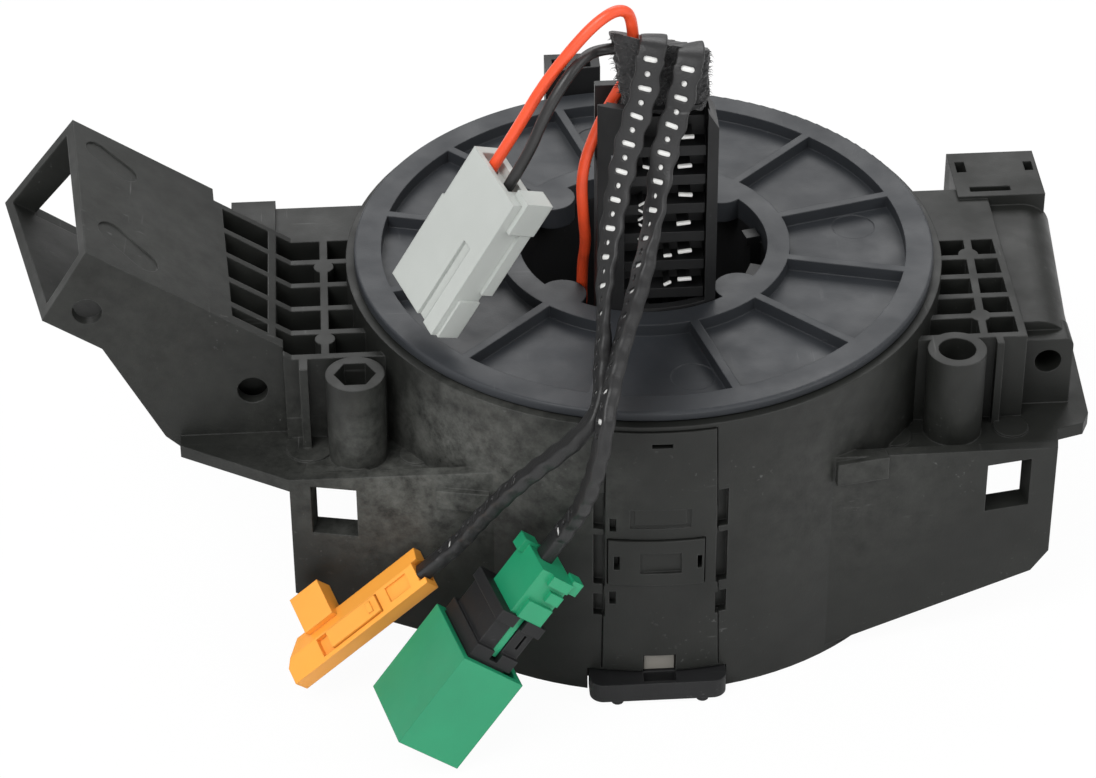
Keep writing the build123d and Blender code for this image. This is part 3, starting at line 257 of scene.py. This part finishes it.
def rubber(name, colour, rough=0.38, vary=0.12):
    """Wire insulation: even tone with faint flow marks and smudges."""
    n = Nodes(name)
    tone = n.ramp(n.noise(160.0, 4.0, 0.6), 0.3, 0.7)
    n.link(
        n.mix(tone, tuple(c * (1 - vary) for c in colour), tuple(min(1, c * (1 + vary)) for c in colour)),
        n.shader.inputs["Base Color"],
    )
    n.link(n.ramp(n.noise(500.0), 0.3, 0.7, rough - 0.05, rough + 0.1), n.shader.inputs["Roughness"])
    n.link(n.bump(n.noise(1500.0, 2.0), 0.12, 0.05), n.shader.inputs["Normal"])
    return n.mat


def metal(name, colour, rough=0.3):
    """Contact metal: uneven tone and a fine grain."""
    n = Nodes(name)
    tone = n.ramp(n.noise(400.0, 3.0), 0.3, 0.7)
    n.link(n.mix(tone, tuple(c * 0.8 for c in colour), colour), n.shader.inputs["Base Color"])
    n.shader.inputs["Metallic"].default_value = 1.0
    n.link(n.ramp(n.noise(900.0), 0.3, 0.7, rough - 0.08, rough + 0.12), n.shader.inputs["Roughness"])
    n.link(n.bump(n.noise(2200.0, 2.0), 0.1, 0.03), n.shader.inputs["Normal"])
    return n.mat


# Dust on the housing: x, y, z, full radius, outer radius, amount
HOUSING_DUST = (
    (-45.0, -40.0, 36.0, 5.0, 22.0, 0.5),
    (-34.0, -46.0, 48.0, 5.0, 24.0, 0.5),
    (-20.0, -54.0, 46.0, 3.0, 18.0, 0.3),
    (-62.0, -30.0, 39.0, 3.0, 20.0, 0.2),
    (35.0, -50.0, 40.0, 5.0, 30.0, 0.16),
    (-90.0, -10.0, 66.0, 10.0, 34.0, 0.1),
)
MATS = {
    "housing": plastic(
        "housing_plastic",
        (0.0106, 0.0113, 0.0101),
        rough=0.5,
        vary=0.28,
        grain=0.3,
        scuff=0.32,
        specular=0.28,
        dust=HOUSING_DUST,
        wear_and_highlight=0.55,
    ),
    "cover": plastic(
        "cover_plastic", (0.009, 0.0092, 0.0098), rough=0.5, scuff=0.2, specular=0.3, wear_and_highlight=0.4
    ),
    "disc": plastic(
        "disc_plastic",
        (0.0225, 0.025, 0.029),
        rough=0.5,
        vary=0.12,
        grain=0.3,
        scuff=0.14,
        specular=0.36,
        wear_and_highlight=0.3,
    ),
    "tower": plastic(
        "tower_plastic",
        (0.009, 0.0092, 0.0097),
        rough=0.5,
        grain=0.2,
        scuff=0.2,
        specular=0.32,
        edge=0.2,
        wear_and_highlight=0.4,
    ),
    "orange": plastic("orange_plastic", (0.86, 0.35, 0.045), rough=0.42, vary=0.07, grain=0.15, edge=0.3),
    "green": plastic("green_plastic", (0.011, 0.25, 0.115), rough=0.4, vary=0.1, grain=0.15, edge=0.3),
    "grey": plastic("grey_plastic", (0.42, 0.44, 0.42), vary=0.05, grain=0.15),
    "film": plastic("film_plastic", (0.72, 0.7, 0.62), rough=0.35, vary=0.08, grain=0.1, edge=0.1),
    "pins": metal("pin_metal", (0.8, 0.68, 0.4)),
    "felt": cloth("felt_tape", (0.005, 0.005, 0.0055)),
    "strap": plastic(
        "strap_plastic",
        (0.0125, 0.0125, 0.013),
        rough=0.46,
        vary=0.35,
        grain=0.9,
        scuff=0.35,
        specular=0.42,
        edge=0.15,
    ),
    "key": plastic("key_plastic", (0.2, 0.19, 0.17), rough=0.5, vary=0.12, grain=0.2, edge=0.2),
    "core": plastic("core_film", (0.78, 0.78, 0.76), rough=0.4, vary=0.05, grain=0.1, edge=0.1),
    "red": rubber("red_insulation", (0.78, 0.075, 0.02)),
    "black": rubber("black_insulation", (0.012, 0.0115, 0.0115)),
}
NODE_MATS = {
    "housing": "housing",
    "base_cover": "cover",
    "front_door": "housing",
    "door_latch": "housing",
    "contact_block": "cover",
    "contact_pins": "pins",
    "rear_clip": "cover",
    "lower_washer": "film",
    "upper_washer": "film",
    "ribbon_cable": "film",
    "rotor_disc": "disc",
    "rotor_hub": "tower",
    "cable_tower": "tower",
    "tower_comb": "tower",
    "tape_sleeve": "felt",
    "red_wire": "red",
    "black_wire": "black",
    "feed_wire": "red",
    "grey_connector": "grey",
    "grey_terminals": "pins",
    "lead_left": "strap",
    "lead_right": "strap",
    "green_plug": "green",
    "green_insert": "cover",
    "green_cover": "green",
    "orange_plug": "orange",
    "orange_lock": "orange",
}
for node, kind in NODE_MATS.items():
    data = nodes[node].data
    data.materials.clear()
    data.materials.append(MATS[kind])


# Cords
RED_ROUTE = [
    (-3.5, -17.8, 109.5),
    (-3.5, -17.8, 118.0),
    (-6.0, -19.6, 121.2),
    (-10.2, -21.2, 119.4),
    (-15.0, -22.2, 114.2),
    (-19.8, -23.0, 107.7),
    (-23.09, -23.8, 101.87),
    (-28.87, -23.38, 91.37),
]
BLACK_ROUTE = [
    (-5.6, -18.0, 112.4),
    (-9.2, -18.0, 112.4),
    (-12.6, -22.2, 113.2),
    (-16.4, -25.8, 110.0),
    (-19.6, -27.4, 104.6),
    (-22.09, -28.47, 98.39),
    (-26.71, -28.13, 89.99),
]
FEED_ROUTE = [
    (-12.0, -11.0, 48.0),
    (-12.0, -11.0, 63.5),
    (-11.4, -15.4, 71.5),
    (-12.2, -18.4, 79.5),
    (-12.5, -18.8, 88.5),
    (-10.0, -17.2, 95.4),
    (-6.8, -16.8, 102.2),
    (-3.4, -16.8, 108.0),
]
LEFT_ROUTE = [
    (-0.2, -18.4, 114.6),
    (-0.4, -22.4, 116.4),
    (-1.6, -24.6, 112.2),
    (-2.4, -26.2, 108.0),
    (-5.1, -28.2, 100.3),
    (-7.9, -32.4, 88.9),
    (-10.2, -40.0, 78.7),
    (-11.2, -52.0, 71.3),
    (-12.0, -60.0, 67.5),
    (-16.6, -61.4, 62.3),
    (-26.0, -57.6, 51.4),
    (-33.2, -50.4, 37.2),
    (-36.52, -47.9, 30.34),
    (-43.0, -48.71, 25.07),
]
RIGHT_ROUTE = [
    (6.0, -18.4, 112.6),
    (6.0, -22.4, 114.0),
    (4.8, -24.6, 110.6),
    (3.8, -26.2, 106.6),
    (0.9, -28.4, 98.8),
    (-1.2, -33.4, 87.8),
    (-4.2, -41.5, 79.6),
    (-8.6, -53.5, 74.4),
    (-11.4, -63.6, 69.8),
    (-12.8, -65.4, 60.6),
    (-15.2, -62.2, 49.2),
    (-17.33, -57.06, 41.23),
    (-21.72, -58.57, 35.73),
]
WIRE = 2.0
STRAP_WIDTH = 4.4


def spline_of(name, route, bevel=0.0):
    """A smooth NURBS curve whose control points are the route's points."""
    data = bpy.data.curves.new(name, "CURVE")
    data.dimensions = "3D"
    line = data.splines.new("NURBS")
    line.points.add(len(route) - 1)
    for point, spot in zip(line.points, route):
        point.co = (*mm(*spot), 1.0)
    line.order_u = 3
    line.use_endpoint_u = True
    line.resolution_u = 16
    data.resolution_u = 16
    data.bevel_depth = bevel
    data.bevel_resolution = 6
    data.use_fill_caps = bevel > 0
    return add_object(name, data)


def read_line(route):
    """The points of a route's smooth line."""
    probe = spline_of("probe", route)
    bpy.context.view_layer.update()
    mesh = bpy.data.meshes.new_from_object(probe)
    points = [v.co.copy() for v in mesh.vertices]
    bpy.data.meshes.remove(mesh)
    bpy.data.objects.remove(probe)
    return points


def line_length(points):
    """Length along a line of points."""
    return sum((b - a).length for a, b in zip(points, points[1:]))


def wire(name, route, kind, node):
    """A round wire on the rotor in place of its CAD node."""
    obj = spline_of(name, route, WIRE / 2 * MM)
    obj.data.materials.append(MATS[kind])
    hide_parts(node)
    line_length(read_line(route))
    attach(obj, "rotor")
    return obj


wire("red_lead_wire", RED_ROUTE, "red", "red_wire")
wire("black_lead_wire", BLACK_ROUTE, "black", "black_wire")
wire("feed_lead_wire", FEED_ROUTE, "red", "feed_wire")


# Perforated straps
STRAP_THICK = 1.2
BUNDLE_WIDTH, BUNDLE_THICK = 3.1, 2.4
NARROWING = 6.0
THICKENING = 12.0
STRAP_CELL = 0.22
TANGENT_REACH = 6
EDGE_DROP = 0.14
SIDE_BULGE = 0.12
SHOULDER_SHARE, CORNER_SHARE = 0.2, 0.9
SCALLOP = 0.22
HOLE_PITCH = 4.95
HOLE_SNAP = 0.72 * STRAP_CELL
SLOT_HALF_WIDTH, SLOT_HALF_LENGTH = 1.2, 0.46
HOLE_RADIUS = 0.5
HOLES_START, HOLES_END = 6.6, 5.0
RIM_DEPTH = 0.3
NO_HOLE = 9.0
FILM_WIDTH, FILM_SHARE = 3.3, 0.75
FILM_TOP, FILM_BOTTOM = 0.42, 0.66
BEND_START, BEND_END = mm(-14.0, -61.0, 66.0), mm(-22.0, -58.0, 52.0)
BEND_MARGIN = 0.05
VIEW_BACK = scene.camera.matrix_world.to_3x3() @ Vector((0, 0, 1))


def along(keys, place):
    """Value at a place on a list of (place, value) pairs, turning smoothly between them."""
    if place <= keys[0][0]:
        return keys[0][1]
    for (a, low), (b, high) in zip(keys, keys[1:]):
        if place <= b:
            t = (place - a) / (b - a)
            t = t * t * (3 - 2 * t)
            return low + (high - low) * t
    return keys[-1][1]


def even_spots(points, step):
    """Places along a line, step millimetres apart, and its length in millimetres."""
    total = line_length(points) / MM
    count = int(total / step)
    spots, index, done = [], 0, 0.0
    for k in range(count + 1):
        want = total * k / count * MM
        while index < len(points) - 2 and done + (points[index + 1] - points[index]).length < want:
            done += (points[index + 1] - points[index]).length
            index += 1
        piece = points[index + 1] - points[index]
        spots.append(points[index] + piece.normalized() * (want - done))
    return spots, total


def strap_frames(points, rolls):
    """Each place along a strap, with its tangent, the way its holes face and the axis across it."""
    frames = []
    spots, total = even_spots(points, STRAP_CELL)
    count = len(spots) - 1
    for k, spot in enumerate(spots):
        before, after = spots[max(k - TANGENT_REACH, 0)], spots[min(k + TANGENT_REACH, count)]
        tangent = (after - before).normalized()
        normal = VIEW_BACK - tangent * VIEW_BACK.dot(tangent)
        normal.normalize()
        width = tangent.cross(normal)
        place = total * k / count
        roll = math.radians(along(rolls, place))
        facing = normal * math.cos(roll) + width * math.sin(roll)
        across = tangent.cross(facing)
        frames.append((place, spot, tangent, facing, across))
    return frames


def in_bend(spot):
    """True where a lead bends between the rotor and the base, which stays without holes."""
    way = BEND_END - BEND_START
    share = (spot - BEND_START).dot(way) / way.length_squared
    return -BEND_MARGIN < share < 1 + BEND_MARGIN


def hole_distance(place, v, first, last):
    """Distance from the nearest slot or round hole, below zero inside it, and the outline's nearest place."""
    number = round((place - first) / (HOLE_PITCH / 2))
    centre = first + number * HOLE_PITCH / 2
    if number < 0 or centre > last:
        return NO_HOLE, place, v
    du = place - centre
    if number % 2 == 0:
        core = max(-SLOT_HALF_WIDTH + SLOT_HALF_LENGTH, min(SLOT_HALF_WIDTH - SLOT_HALF_LENGTH, v))
        radius = SLOT_HALF_LENGTH
    else:
        core, radius = 0.0, HOLE_RADIUS
    dv = v - core
    reach = math.hypot(du, dv)
    if reach < 1e-6:
        return -radius, centre + radius, core
    return reach - radius, centre + du / reach * radius, core + dv / reach * radius


def front_section(place, half, thick, last, plain):
    """Across a strap's front: offset, height, slide along the strap and distance from the nearest hole."""
    columns = int(STRAP_WIDTH / STRAP_CELL)
    section = []
    for column in range(columns + 1):
        u, v = place, -half + 2 * half * column / columns
        depth, u_edge, v_edge = NO_HOLE, u, v
        if not plain:
            depth, u_edge, v_edge = hole_distance(place, v, HOLES_START, last)
        if abs(depth) < HOLE_SNAP:
            u, v = u_edge, v_edge
        section.append((v, thick / 2 - EDGE_DROP * (abs(v) / half) ** 4, u - place, depth))
    return section


def back_section(half, thick):
    """Round the sides and back of a strap, from its right edge to its left one."""
    side, shoulder = half + SIDE_BULGE, thick * SHOULDER_SHARE
    corner = half * CORNER_SHARE
    outline = (
        (side, shoulder),
        (side, -shoulder),
        (corner, -thick / 2),
        (0.0, -thick / 2),
        (-corner, -thick / 2),
        (-side, -shoulder),
        (-side, shoulder),
    )
    return [(v, h, 0.0, NO_HOLE) for v, h in outline]


def film_section(width, thick):
    """The pale strip inside a strap, just under its front."""
    half = min(FILM_WIDTH, width * FILM_SHARE) / 2
    top, bottom = thick / 2 - FILM_TOP, thick / 2 - FILM_BOTTOM
    outline = ((-half, top), (half, top), (half, bottom), (-half, bottom))
    return [(v, h, 0.0, NO_HOLE) for v, h in outline]


def sweep(name, rings, kind):
    """A closed tube through rings of (place, depth), left open where all of a face lies in a hole."""
    size = len(rings[0])
    faces = []
    for start in range(size, size * len(rings), size):
        for c in range(size):
            d = (c + 1) % size
            quad = (start - size + c, start - size + d, start + d, start + c)
            if max(rings[q // size][q % size][1] for q in quad) >= HOLE_SNAP:
                faces.append(quad)
    last = size * (len(rings) - 1)
    faces.append(tuple(reversed(range(size))))
    faces.append(tuple(range(last, last + size)))
    mesh = bpy.data.meshes.new(name)
    mesh.from_pydata([spot for ring in rings for spot, depth in ring], [], faces)
    mesh.materials.append(MATS[kind])
    return add_object(name, mesh)


def deepen_holes(mesh):
    """Turn each hole's rim inwards, so the strap shows its thickness."""
    work = bmesh.new()
    work.from_mesh(mesh)
    bmesh.ops.delete(work, geom=[v for v in work.verts if not v.link_faces], context="VERTS")
    rims = [e for e in work.edges if e.is_boundary]
    facing_at = {}
    for e in rims:
        for v in e.verts:
            facing_at[v] = sum((f.normal for f in v.link_faces), Vector()).normalized()
    grown = bmesh.ops.extrude_edge_only(work, edges=rims)
    for v in [g for g in grown["geom"] if isinstance(g, bmesh.types.BMVert)]:
        source = next((o for e in v.link_edges for o in e.verts if o in facing_at), None)
        if source is not None:
            v.co -= facing_at[source] * RIM_DEPTH * MM
    bmesh.ops.recalc_face_normals(work, faces=work.faces[:])
    work.to_mesh(mesh)
    work.free()


def strap(name, node, route, rolls, merge, thickening):
    """A flat perforated lead with a pale film inside, narrowing to a smooth bundle below the merge."""
    points = read_line(route)
    total = line_length(points) / MM
    last = total - HOLES_END
    widths = ((0.0, STRAP_WIDTH), (merge - NARROWING, STRAP_WIDTH), (merge + NARROWING, BUNDLE_WIDTH))
    thicks = ((0.0, STRAP_THICK), (thickening, STRAP_THICK), (thickening + THICKENING, BUNDLE_THICK))
    rings, film_rings = [], []
    for place, spot, tangent, facing, across in strap_frames(points, rolls):
        width, thick = along(widths, place), along(thicks, place)
        half = width / 2
        if HOLES_START < place < last:
            half += SCALLOP * math.cos(2 * math.pi * (place - HOLES_START) / HOLE_PITCH)
        skin = front_section(place, half, thick, last, in_bend(spot)) + back_section(half, thick)
        for ring, section in ((rings, skin), (film_rings, film_section(width, thick))):
            ring.append(
                [
                    (spot + across * v * MM + facing * h * MM + tangent * slide * MM, depth)
                    for v, h, slide, depth in section
                ]
            )
    obj = sweep(name, rings, "strap")
    deepen_holes(obj.data)
    film_obj = sweep(name + "_film", film_rings, "core")
    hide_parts(node)
    for polygon in obj.data.polygons:
        polygon.use_smooth = True
    for piece in (obj, film_obj):
        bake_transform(piece)


# Roll away from the camera, in degrees, by millimetres along each strap
LEFT_ROLLS = ((0, 0), (20, 10), (34, 36), (44, 58), (52, 74), (66, 76), (76, 62), (120, 66))
RIGHT_ROLLS = ((0, 4), (20, 12), (30, 46), (38, 66), (60, 76), (70, 68), (106, 60))
strap("left_strap", "lead_left", LEFT_ROUTE, LEFT_ROLLS, merge=66.0, thickening=50.0)
strap("right_strap", "lead_right", RIGHT_ROUTE, RIGHT_ROLLS, merge=62.0, thickening=30.0)


# Film ends in the comb
COMB_RIGHT, COMB_FACE = 9.0, -19.4
COMB_PITCH, COMB_ROWS, COMB_FIRST = 5.9, 7, 59.8
FILM_END = (2.5, 0.7, 0.6)
FILM_SHORT = (1.5, 0.7, 0.45)
FILM_CURL = (1.3, 0.7, 0.32)
FILM_PROUD = 0.1
FOLD_DEPTH = 5.4
FOLD_INSET = 0.3
FOLD_DROP = 0.1
BAR_EDGE = 0.18
MAIN_X, MAIN_SHIFT, MAIN_TURN = COMB_RIGHT - 3.4, 0.35, 8
SECOND_COLUMN, SECOND_DROP, SECOND_TURN, SECOND_ROWS = -3.0, 0.8, 30, (0, 1, 2, 5)
THIRD_COLUMN, THIRD_TURN, THIRD_ROWS = -6.6, 20, (0, 5)
CURL_COLUMN, CURL_SHIFT, CURL_TURNS = -7.5, 0.3, (-30, 34)
CURLS, CURL_PITCH, CURL_FIRST = 7, 1.5, COMB_FIRST + 2.2 * COMB_PITCH


def rounded_bar(size, spot, turn):
    """A small bar with softened edges, turned about Y."""
    work = bmesh.new()
    bmesh.ops.create_cube(work, size=1.0)
    for v in work.verts:
        v.co = Vector((v.co.x * size[0], v.co.y * size[1], v.co.z * size[2])) * MM
    edge = BAR_EDGE * MM
    bmesh.ops.bevel(work, geom=work.edges[:], offset=edge, segments=2, affect="EDGES", profile=0.5)
    place = Matrix.Translation(mm(*spot)) @ Matrix.Rotation(math.radians(turn), 4, "Y")
    bmesh.ops.transform(work, matrix=place, verts=work.verts[:])
    return work


def join_bars(name, bars, kind, body):
    """The bars as one piece on a body."""
    whole = bmesh.new()
    for bar in bars:
        data = bpy.data.meshes.new("bar")
        bar.to_mesh(data)
        bar.free()
        whole.from_mesh(data)
        bpy.data.meshes.remove(data)
    mesh = bpy.data.meshes.new(name)
    whole.to_mesh(mesh)
    whole.free()
    mesh.materials.append(MATS[kind])
    obj = add_object(name, mesh)
    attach(obj, body)
    return obj


def film_places():
    """Size, place across, height and turn of each film end: three columns in rows, then small curls."""
    places = []
    for row in range(COMB_ROWS):
        height = COMB_FIRST + row * COMB_PITCH
        main_x = MAIN_X + random.uniform(-MAIN_SHIFT, MAIN_SHIFT)
        places.append((FILM_END, main_x, height, random.uniform(-MAIN_TURN, MAIN_TURN)))
        if row in SECOND_ROWS:
            turn = random.uniform(-SECOND_TURN, SECOND_TURN)
            places.append((FILM_SHORT, main_x + SECOND_COLUMN, height - SECOND_DROP, turn))
        if row in THIRD_ROWS:
            turn = random.uniform(-THIRD_TURN, THIRD_TURN)
            places.append((FILM_SHORT, main_x + THIRD_COLUMN, height, turn))
    for curl in range(CURLS):
        curl_x = MAIN_X + CURL_COLUMN + random.uniform(-CURL_SHIFT, CURL_SHIFT)
        places.append((FILM_CURL, curl_x, CURL_FIRST + curl * CURL_PITCH, CURL_TURNS[curl % 2]))
    return places


def make_comb_film():
    """Pale film ends at the comb's face, each on a dark fold that carries it from the comb's back."""
    bars, folds = [], []
    for size, x, height, turn in film_places():
        bars.append(rounded_bar(size, (x, COMB_FACE - FILM_PROUD, height), turn))
        fold_size = (size[0] - FOLD_INSET, FOLD_DEPTH, size[2])
        fold_spot = (x, COMB_FACE + FOLD_DEPTH / 2, height - FOLD_DROP)
        folds.append(rounded_bar(fold_size, fold_spot, turn))
    join_bars("comb_film_ends", bars, "core", "rotor")
    join_bars("comb_film_folds", folds, "tower", "rotor")


make_comb_film()


# Pale key behind the door's foot window
FOOT_X, FOOT_WIDTH = -1.1, 5.8
KEY_PLAY = 0.3
KEY_FRONT, KEY_BACK = -53.3, -49.1
KEY_LOW, KEY_HIGH = 4.7, 8.4
key_size = (FOOT_WIDTH - KEY_PLAY, KEY_BACK - KEY_FRONT, KEY_HIGH - KEY_LOW)
key_spot = (FOOT_X, (KEY_FRONT + KEY_BACK) / 2, (KEY_LOW + KEY_HIGH) / 2)
join_bars("contact_key", [rounded_bar(key_size, key_spot, 0)], "key", "base")


# Fabric wrap
WRAP_LOW, WRAP_HIGH = 101.0, 113.5
WRAP_RINGS, WRAP_SIDES = 44, 132
WRAP_CORNER = 3.2
WRAP_HALF_X, WRAP_WIDENS = 7.4, 0.9
WRAP_HALF_Y, WRAP_THINS = 3.9, 0.4
WRAP_X, WRAP_LEANS_LEFT = 1.9, 1.0
WRAP_Y, WRAP_LEANS_OUT = -17.2, 0.2
WRAP_FRONT_LIFT, WRAP_FALL = 3.0, 0.25
WRAP_LIFT_FROM, WRAP_LIFT_OVER = -13.8, 6.8
WRAP_FALL_FROM = -6.4
WRAP_LUMPS = ((0.55, 0.55), (1.7, 0.28), (4.2, 0.14))
RAGGED = 1.1
TOP_HOLLOW = 0.8
FIBRES = 420
FIBRE_ROOT = 0.25
FIBRE_REACH, FIBRE_GIRTH = (0.35, 1.1), (0.05, 0.1)
FIBRE_BEND, FIBRE_TIP = 0.8, 0.25
FIBRE_SAG = 0.15
FIBRE_CORNER = 2.094


def wrap_outline(angle, t):
    """Place on the wrap's rounded oblong, at a share of its height."""
    half_x = WRAP_HALF_X + WRAP_WIDENS * t
    half_y = WRAP_HALF_Y - WRAP_THINS * t
    c, s = math.cos(angle), math.sin(angle)
    reach = (abs(c / half_x) ** WRAP_CORNER + abs(s / half_y) ** WRAP_CORNER) ** (-1 / WRAP_CORNER)
    x = WRAP_X - WRAP_LEANS_LEFT * t + c * reach
    y = WRAP_Y - WRAP_LEANS_OUT * t + s * reach
    return Vector((x, y, WRAP_LOW + (WRAP_HIGH - WRAP_LOW) * t))


def outward_at(side):
    """The level direction out of the wrap at one of its sides."""
    angle = 2 * math.pi * side / WRAP_SIDES
    return Vector((math.cos(angle), math.sin(angle), 0.0))


def wrap_rows():
    """The felt's surface in rows: lumpy, higher in front, falling to the right and ragged at its foot."""
    rows = []
    for k in range(WRAP_RINGS + 1):
        t = k / WRAP_RINGS
        row = []
        for side in range(WRAP_SIDES):
            angle = 2 * math.pi * side / WRAP_SIDES
            spot = wrap_outline(angle, t)
            frontness = max(0.0, min(1.0, (WRAP_LIFT_FROM - spot.y) / WRAP_LIFT_OVER))
            spot.z += (WRAP_FRONT_LIFT * frontness - WRAP_FALL * (spot.x - WRAP_FALL_FROM)) * t
            lumps = sum(noise.noise(spot * scale) * size for scale, size in WRAP_LUMPS)
            ragged = noise.noise(Vector((angle * 4.0, 3.0, 0.0))) * RAGGED * (1 - t) ** 3
            row.append(spot + outward_at(side) * lumps + Vector((0, 0, ragged)))
        rows.append(row)
    return rows


def wrap_skin(rows):
    """Vertices and faces of the felt, closed by a hollow top and a flat foot."""
    vertices = [p * MM for row in rows for p in row]
    faces = []
    for low in range(0, WRAP_RINGS * WRAP_SIDES, WRAP_SIDES):
        high = low + WRAP_SIDES
        for a in range(WRAP_SIDES):
            b = (a + 1) % WRAP_SIDES
            faces.append((low + a, low + b, high + b, high + a))
    top = WRAP_RINGS * WRAP_SIDES
    middle = sum((v for v in vertices[top:]), Vector()) / WRAP_SIDES - Vector((0, 0, TOP_HOLLOW * MM))
    foot = sum((v for v in vertices[:WRAP_SIDES]), Vector()) / WRAP_SIDES
    vertices += [middle, foot]
    for a in range(WRAP_SIDES):
        b = (a + 1) % WRAP_SIDES
        faces.append((top + a, top + b, len(vertices) - 2))
        faces.append((b, a, len(vertices) - 1))
    return vertices, faces


def add_fibre(rows, vertices, faces):
    """One thin bent hair that stands out of the felt at a random place."""
    row = rows[random.randrange(WRAP_RINGS // 6, WRAP_RINGS)]
    side = random.randrange(WRAP_SIDES)
    root, out = row[side], outward_at(side)
    lean = Vector((random.uniform(-1, 1), random.uniform(-1, 1), random.uniform(-1.2, 0.6)))
    reach = random.uniform(*FIBRE_REACH)
    bend = root + out * reach * 0.55 + lean * 0.12
    tip = root + (out + lean * 0.6).normalized() * reach + Vector((0, 0, -FIBRE_SAG))
    girth = out.cross(Vector((0, 0, 1))).normalized() * random.uniform(*FIBRE_GIRTH)
    start = len(vertices)
    for place, thick in ((root - out * FIBRE_ROOT, 1.0), (bend, FIBRE_BEND), (tip, FIBRE_TIP)):
        for turn in range(3):
            angle = turn * FIBRE_CORNER
            offset = girth * math.cos(angle) + Vector((0, 0, girth.length)) * math.sin(angle)
            vertices.append((place + offset * thick) * MM)
    for ring in (start, start + 3):
        for turn in range(3):
            after = (turn + 1) % 3
            faces.append((ring + turn, ring + after, ring + 3 + after, ring + 3 + turn))
    faces.append((start + 8, start + 7, start + 6))
    faces.append((start, start + 1, start + 2))


def make_wrap():
    """The felted fabric at the tower's mouth, with its loose fibres."""
    rows = wrap_rows()
    vertices, faces = wrap_skin(rows)
    for _ in range(FIBRES):
        add_fibre(rows, vertices, faces)
    mesh = bpy.data.meshes.new("fabric_wrap")
    mesh.from_pydata([tuple(v) for v in vertices], [], faces)
    mesh.materials.append(MATS["felt"])
    obj = add_object("fabric_wrap", mesh)
    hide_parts("tape_sleeve")
    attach(obj, "rotor")


make_wrap()


# Light and stage
WORLD_STRENGTH = 0.44
FLOOR_HALF = 3.0
FLOOR_TONE, FLOOR_ROUGH, FLOOR_SHINE = (0.86, 0.86, 0.86, 1), 0.9, 0.1
FLOOR_GLOW = 0.96
LIGHT_AIM = (0.0, 0.0, 0.04)
# Name, size, power and place of each light, in metres and watts
LIGHTS = (
    ("key", (0.9, 0.9), 19.0, (-0.7, -0.7, 1.3)),
    ("fill", (1.0, 0.8), 7.0, (1.0, -0.5, 0.9)),
    ("back", (1.2, 0.6), 9.0, (0.1, 1.0, 0.9)),
    ("low", (1.0, 0.5), 3.0, (0.0, -1.3, 0.25)),
)


def area(name, size, power, spot, aim):
    """A soft rectangular light that looks at a place."""
    data = bpy.data.lights.new(name, "AREA")
    data.shape = "RECTANGLE"
    data.size, data.size_y = size
    data.energy = power
    obj = add_object(name, data)
    obj.location = spot
    direction = Vector(aim) - Vector(spot)
    obj.rotation_euler = direction.to_track_quat("-Z", "Y").to_euler()
    return obj


def make_world():
    """A white surround that lights the part less than the camera sees it."""
    world = bpy.data.worlds.new("studio")
    scene.world = world
    world.use_nodes = True
    tree = world.node_tree
    tree.nodes["Background"].inputs["Color"].default_value = (1, 1, 1, 1)
    path = tree.nodes.new("ShaderNodeLightPath")
    strength = tree.nodes.new("ShaderNodeMapRange")
    strength.inputs["To Min"].default_value = WORLD_STRENGTH
    strength.inputs["To Max"].default_value = 1.0
    tree.links.new(path.outputs["Is Camera Ray"], strength.inputs["Value"])
    tree.links.new(strength.outputs["Result"], tree.nodes["Background"].inputs["Strength"])


def floor_paint():
    """A pale floor that the camera sees almost wholly as glowing white, so only soft shade is left."""
    mat = bpy.data.materials.new("floor_white")
    mat.use_nodes = True
    tree = mat.node_tree
    shader = tree.nodes["Principled BSDF"]
    shader.inputs["Base Color"].default_value = FLOOR_TONE
    shader.inputs["Roughness"].default_value = FLOOR_ROUGH
    shader.inputs["Specular IOR Level"].default_value = FLOOR_SHINE
    glow = tree.nodes.new("ShaderNodeEmission")
    glow.inputs["Strength"].default_value = 1.0
    mix = tree.nodes.new("ShaderNodeMixShader")
    path = tree.nodes.new("ShaderNodeLightPath")
    seen = tree.nodes.new("ShaderNodeMath")
    seen.operation = "MAXIMUM"
    tree.links.new(path.outputs["Is Camera Ray"], seen.inputs[0])
    tree.links.new(path.outputs["Is Transmission Ray"], seen.inputs[1])
    keep = tree.nodes.new("ShaderNodeMath")
    keep.operation = "MULTIPLY"
    keep.inputs[1].default_value = FLOOR_GLOW
    tree.links.new(seen.outputs[0], keep.inputs[0])
    tree.links.new(keep.outputs[0], mix.inputs[0])
    tree.links.new(shader.outputs[0], mix.inputs[1])
    tree.links.new(glow.outputs[0], mix.inputs[2])
    tree.links.new(mix.outputs[0], tree.nodes["Material Output"].inputs["Surface"])
    return mat


def make_stage():
    """The floor, the surround and the lights."""
    make_world()
    mesh = bpy.data.meshes.new("floor")
    half = FLOOR_HALF
    corners = [(-half, -half, 0), (half, -half, 0), (half, half, 0), (-half, half, 0)]
    mesh.from_pydata(corners, [], [(0, 1, 2, 3)])
    mesh.materials.append(floor_paint())
    floor = add_object("floor", mesh)
    for light in LIGHTS:
        area(*light, LIGHT_AIM)
    scene.view_settings.view_transform = "Standard"


make_stage()
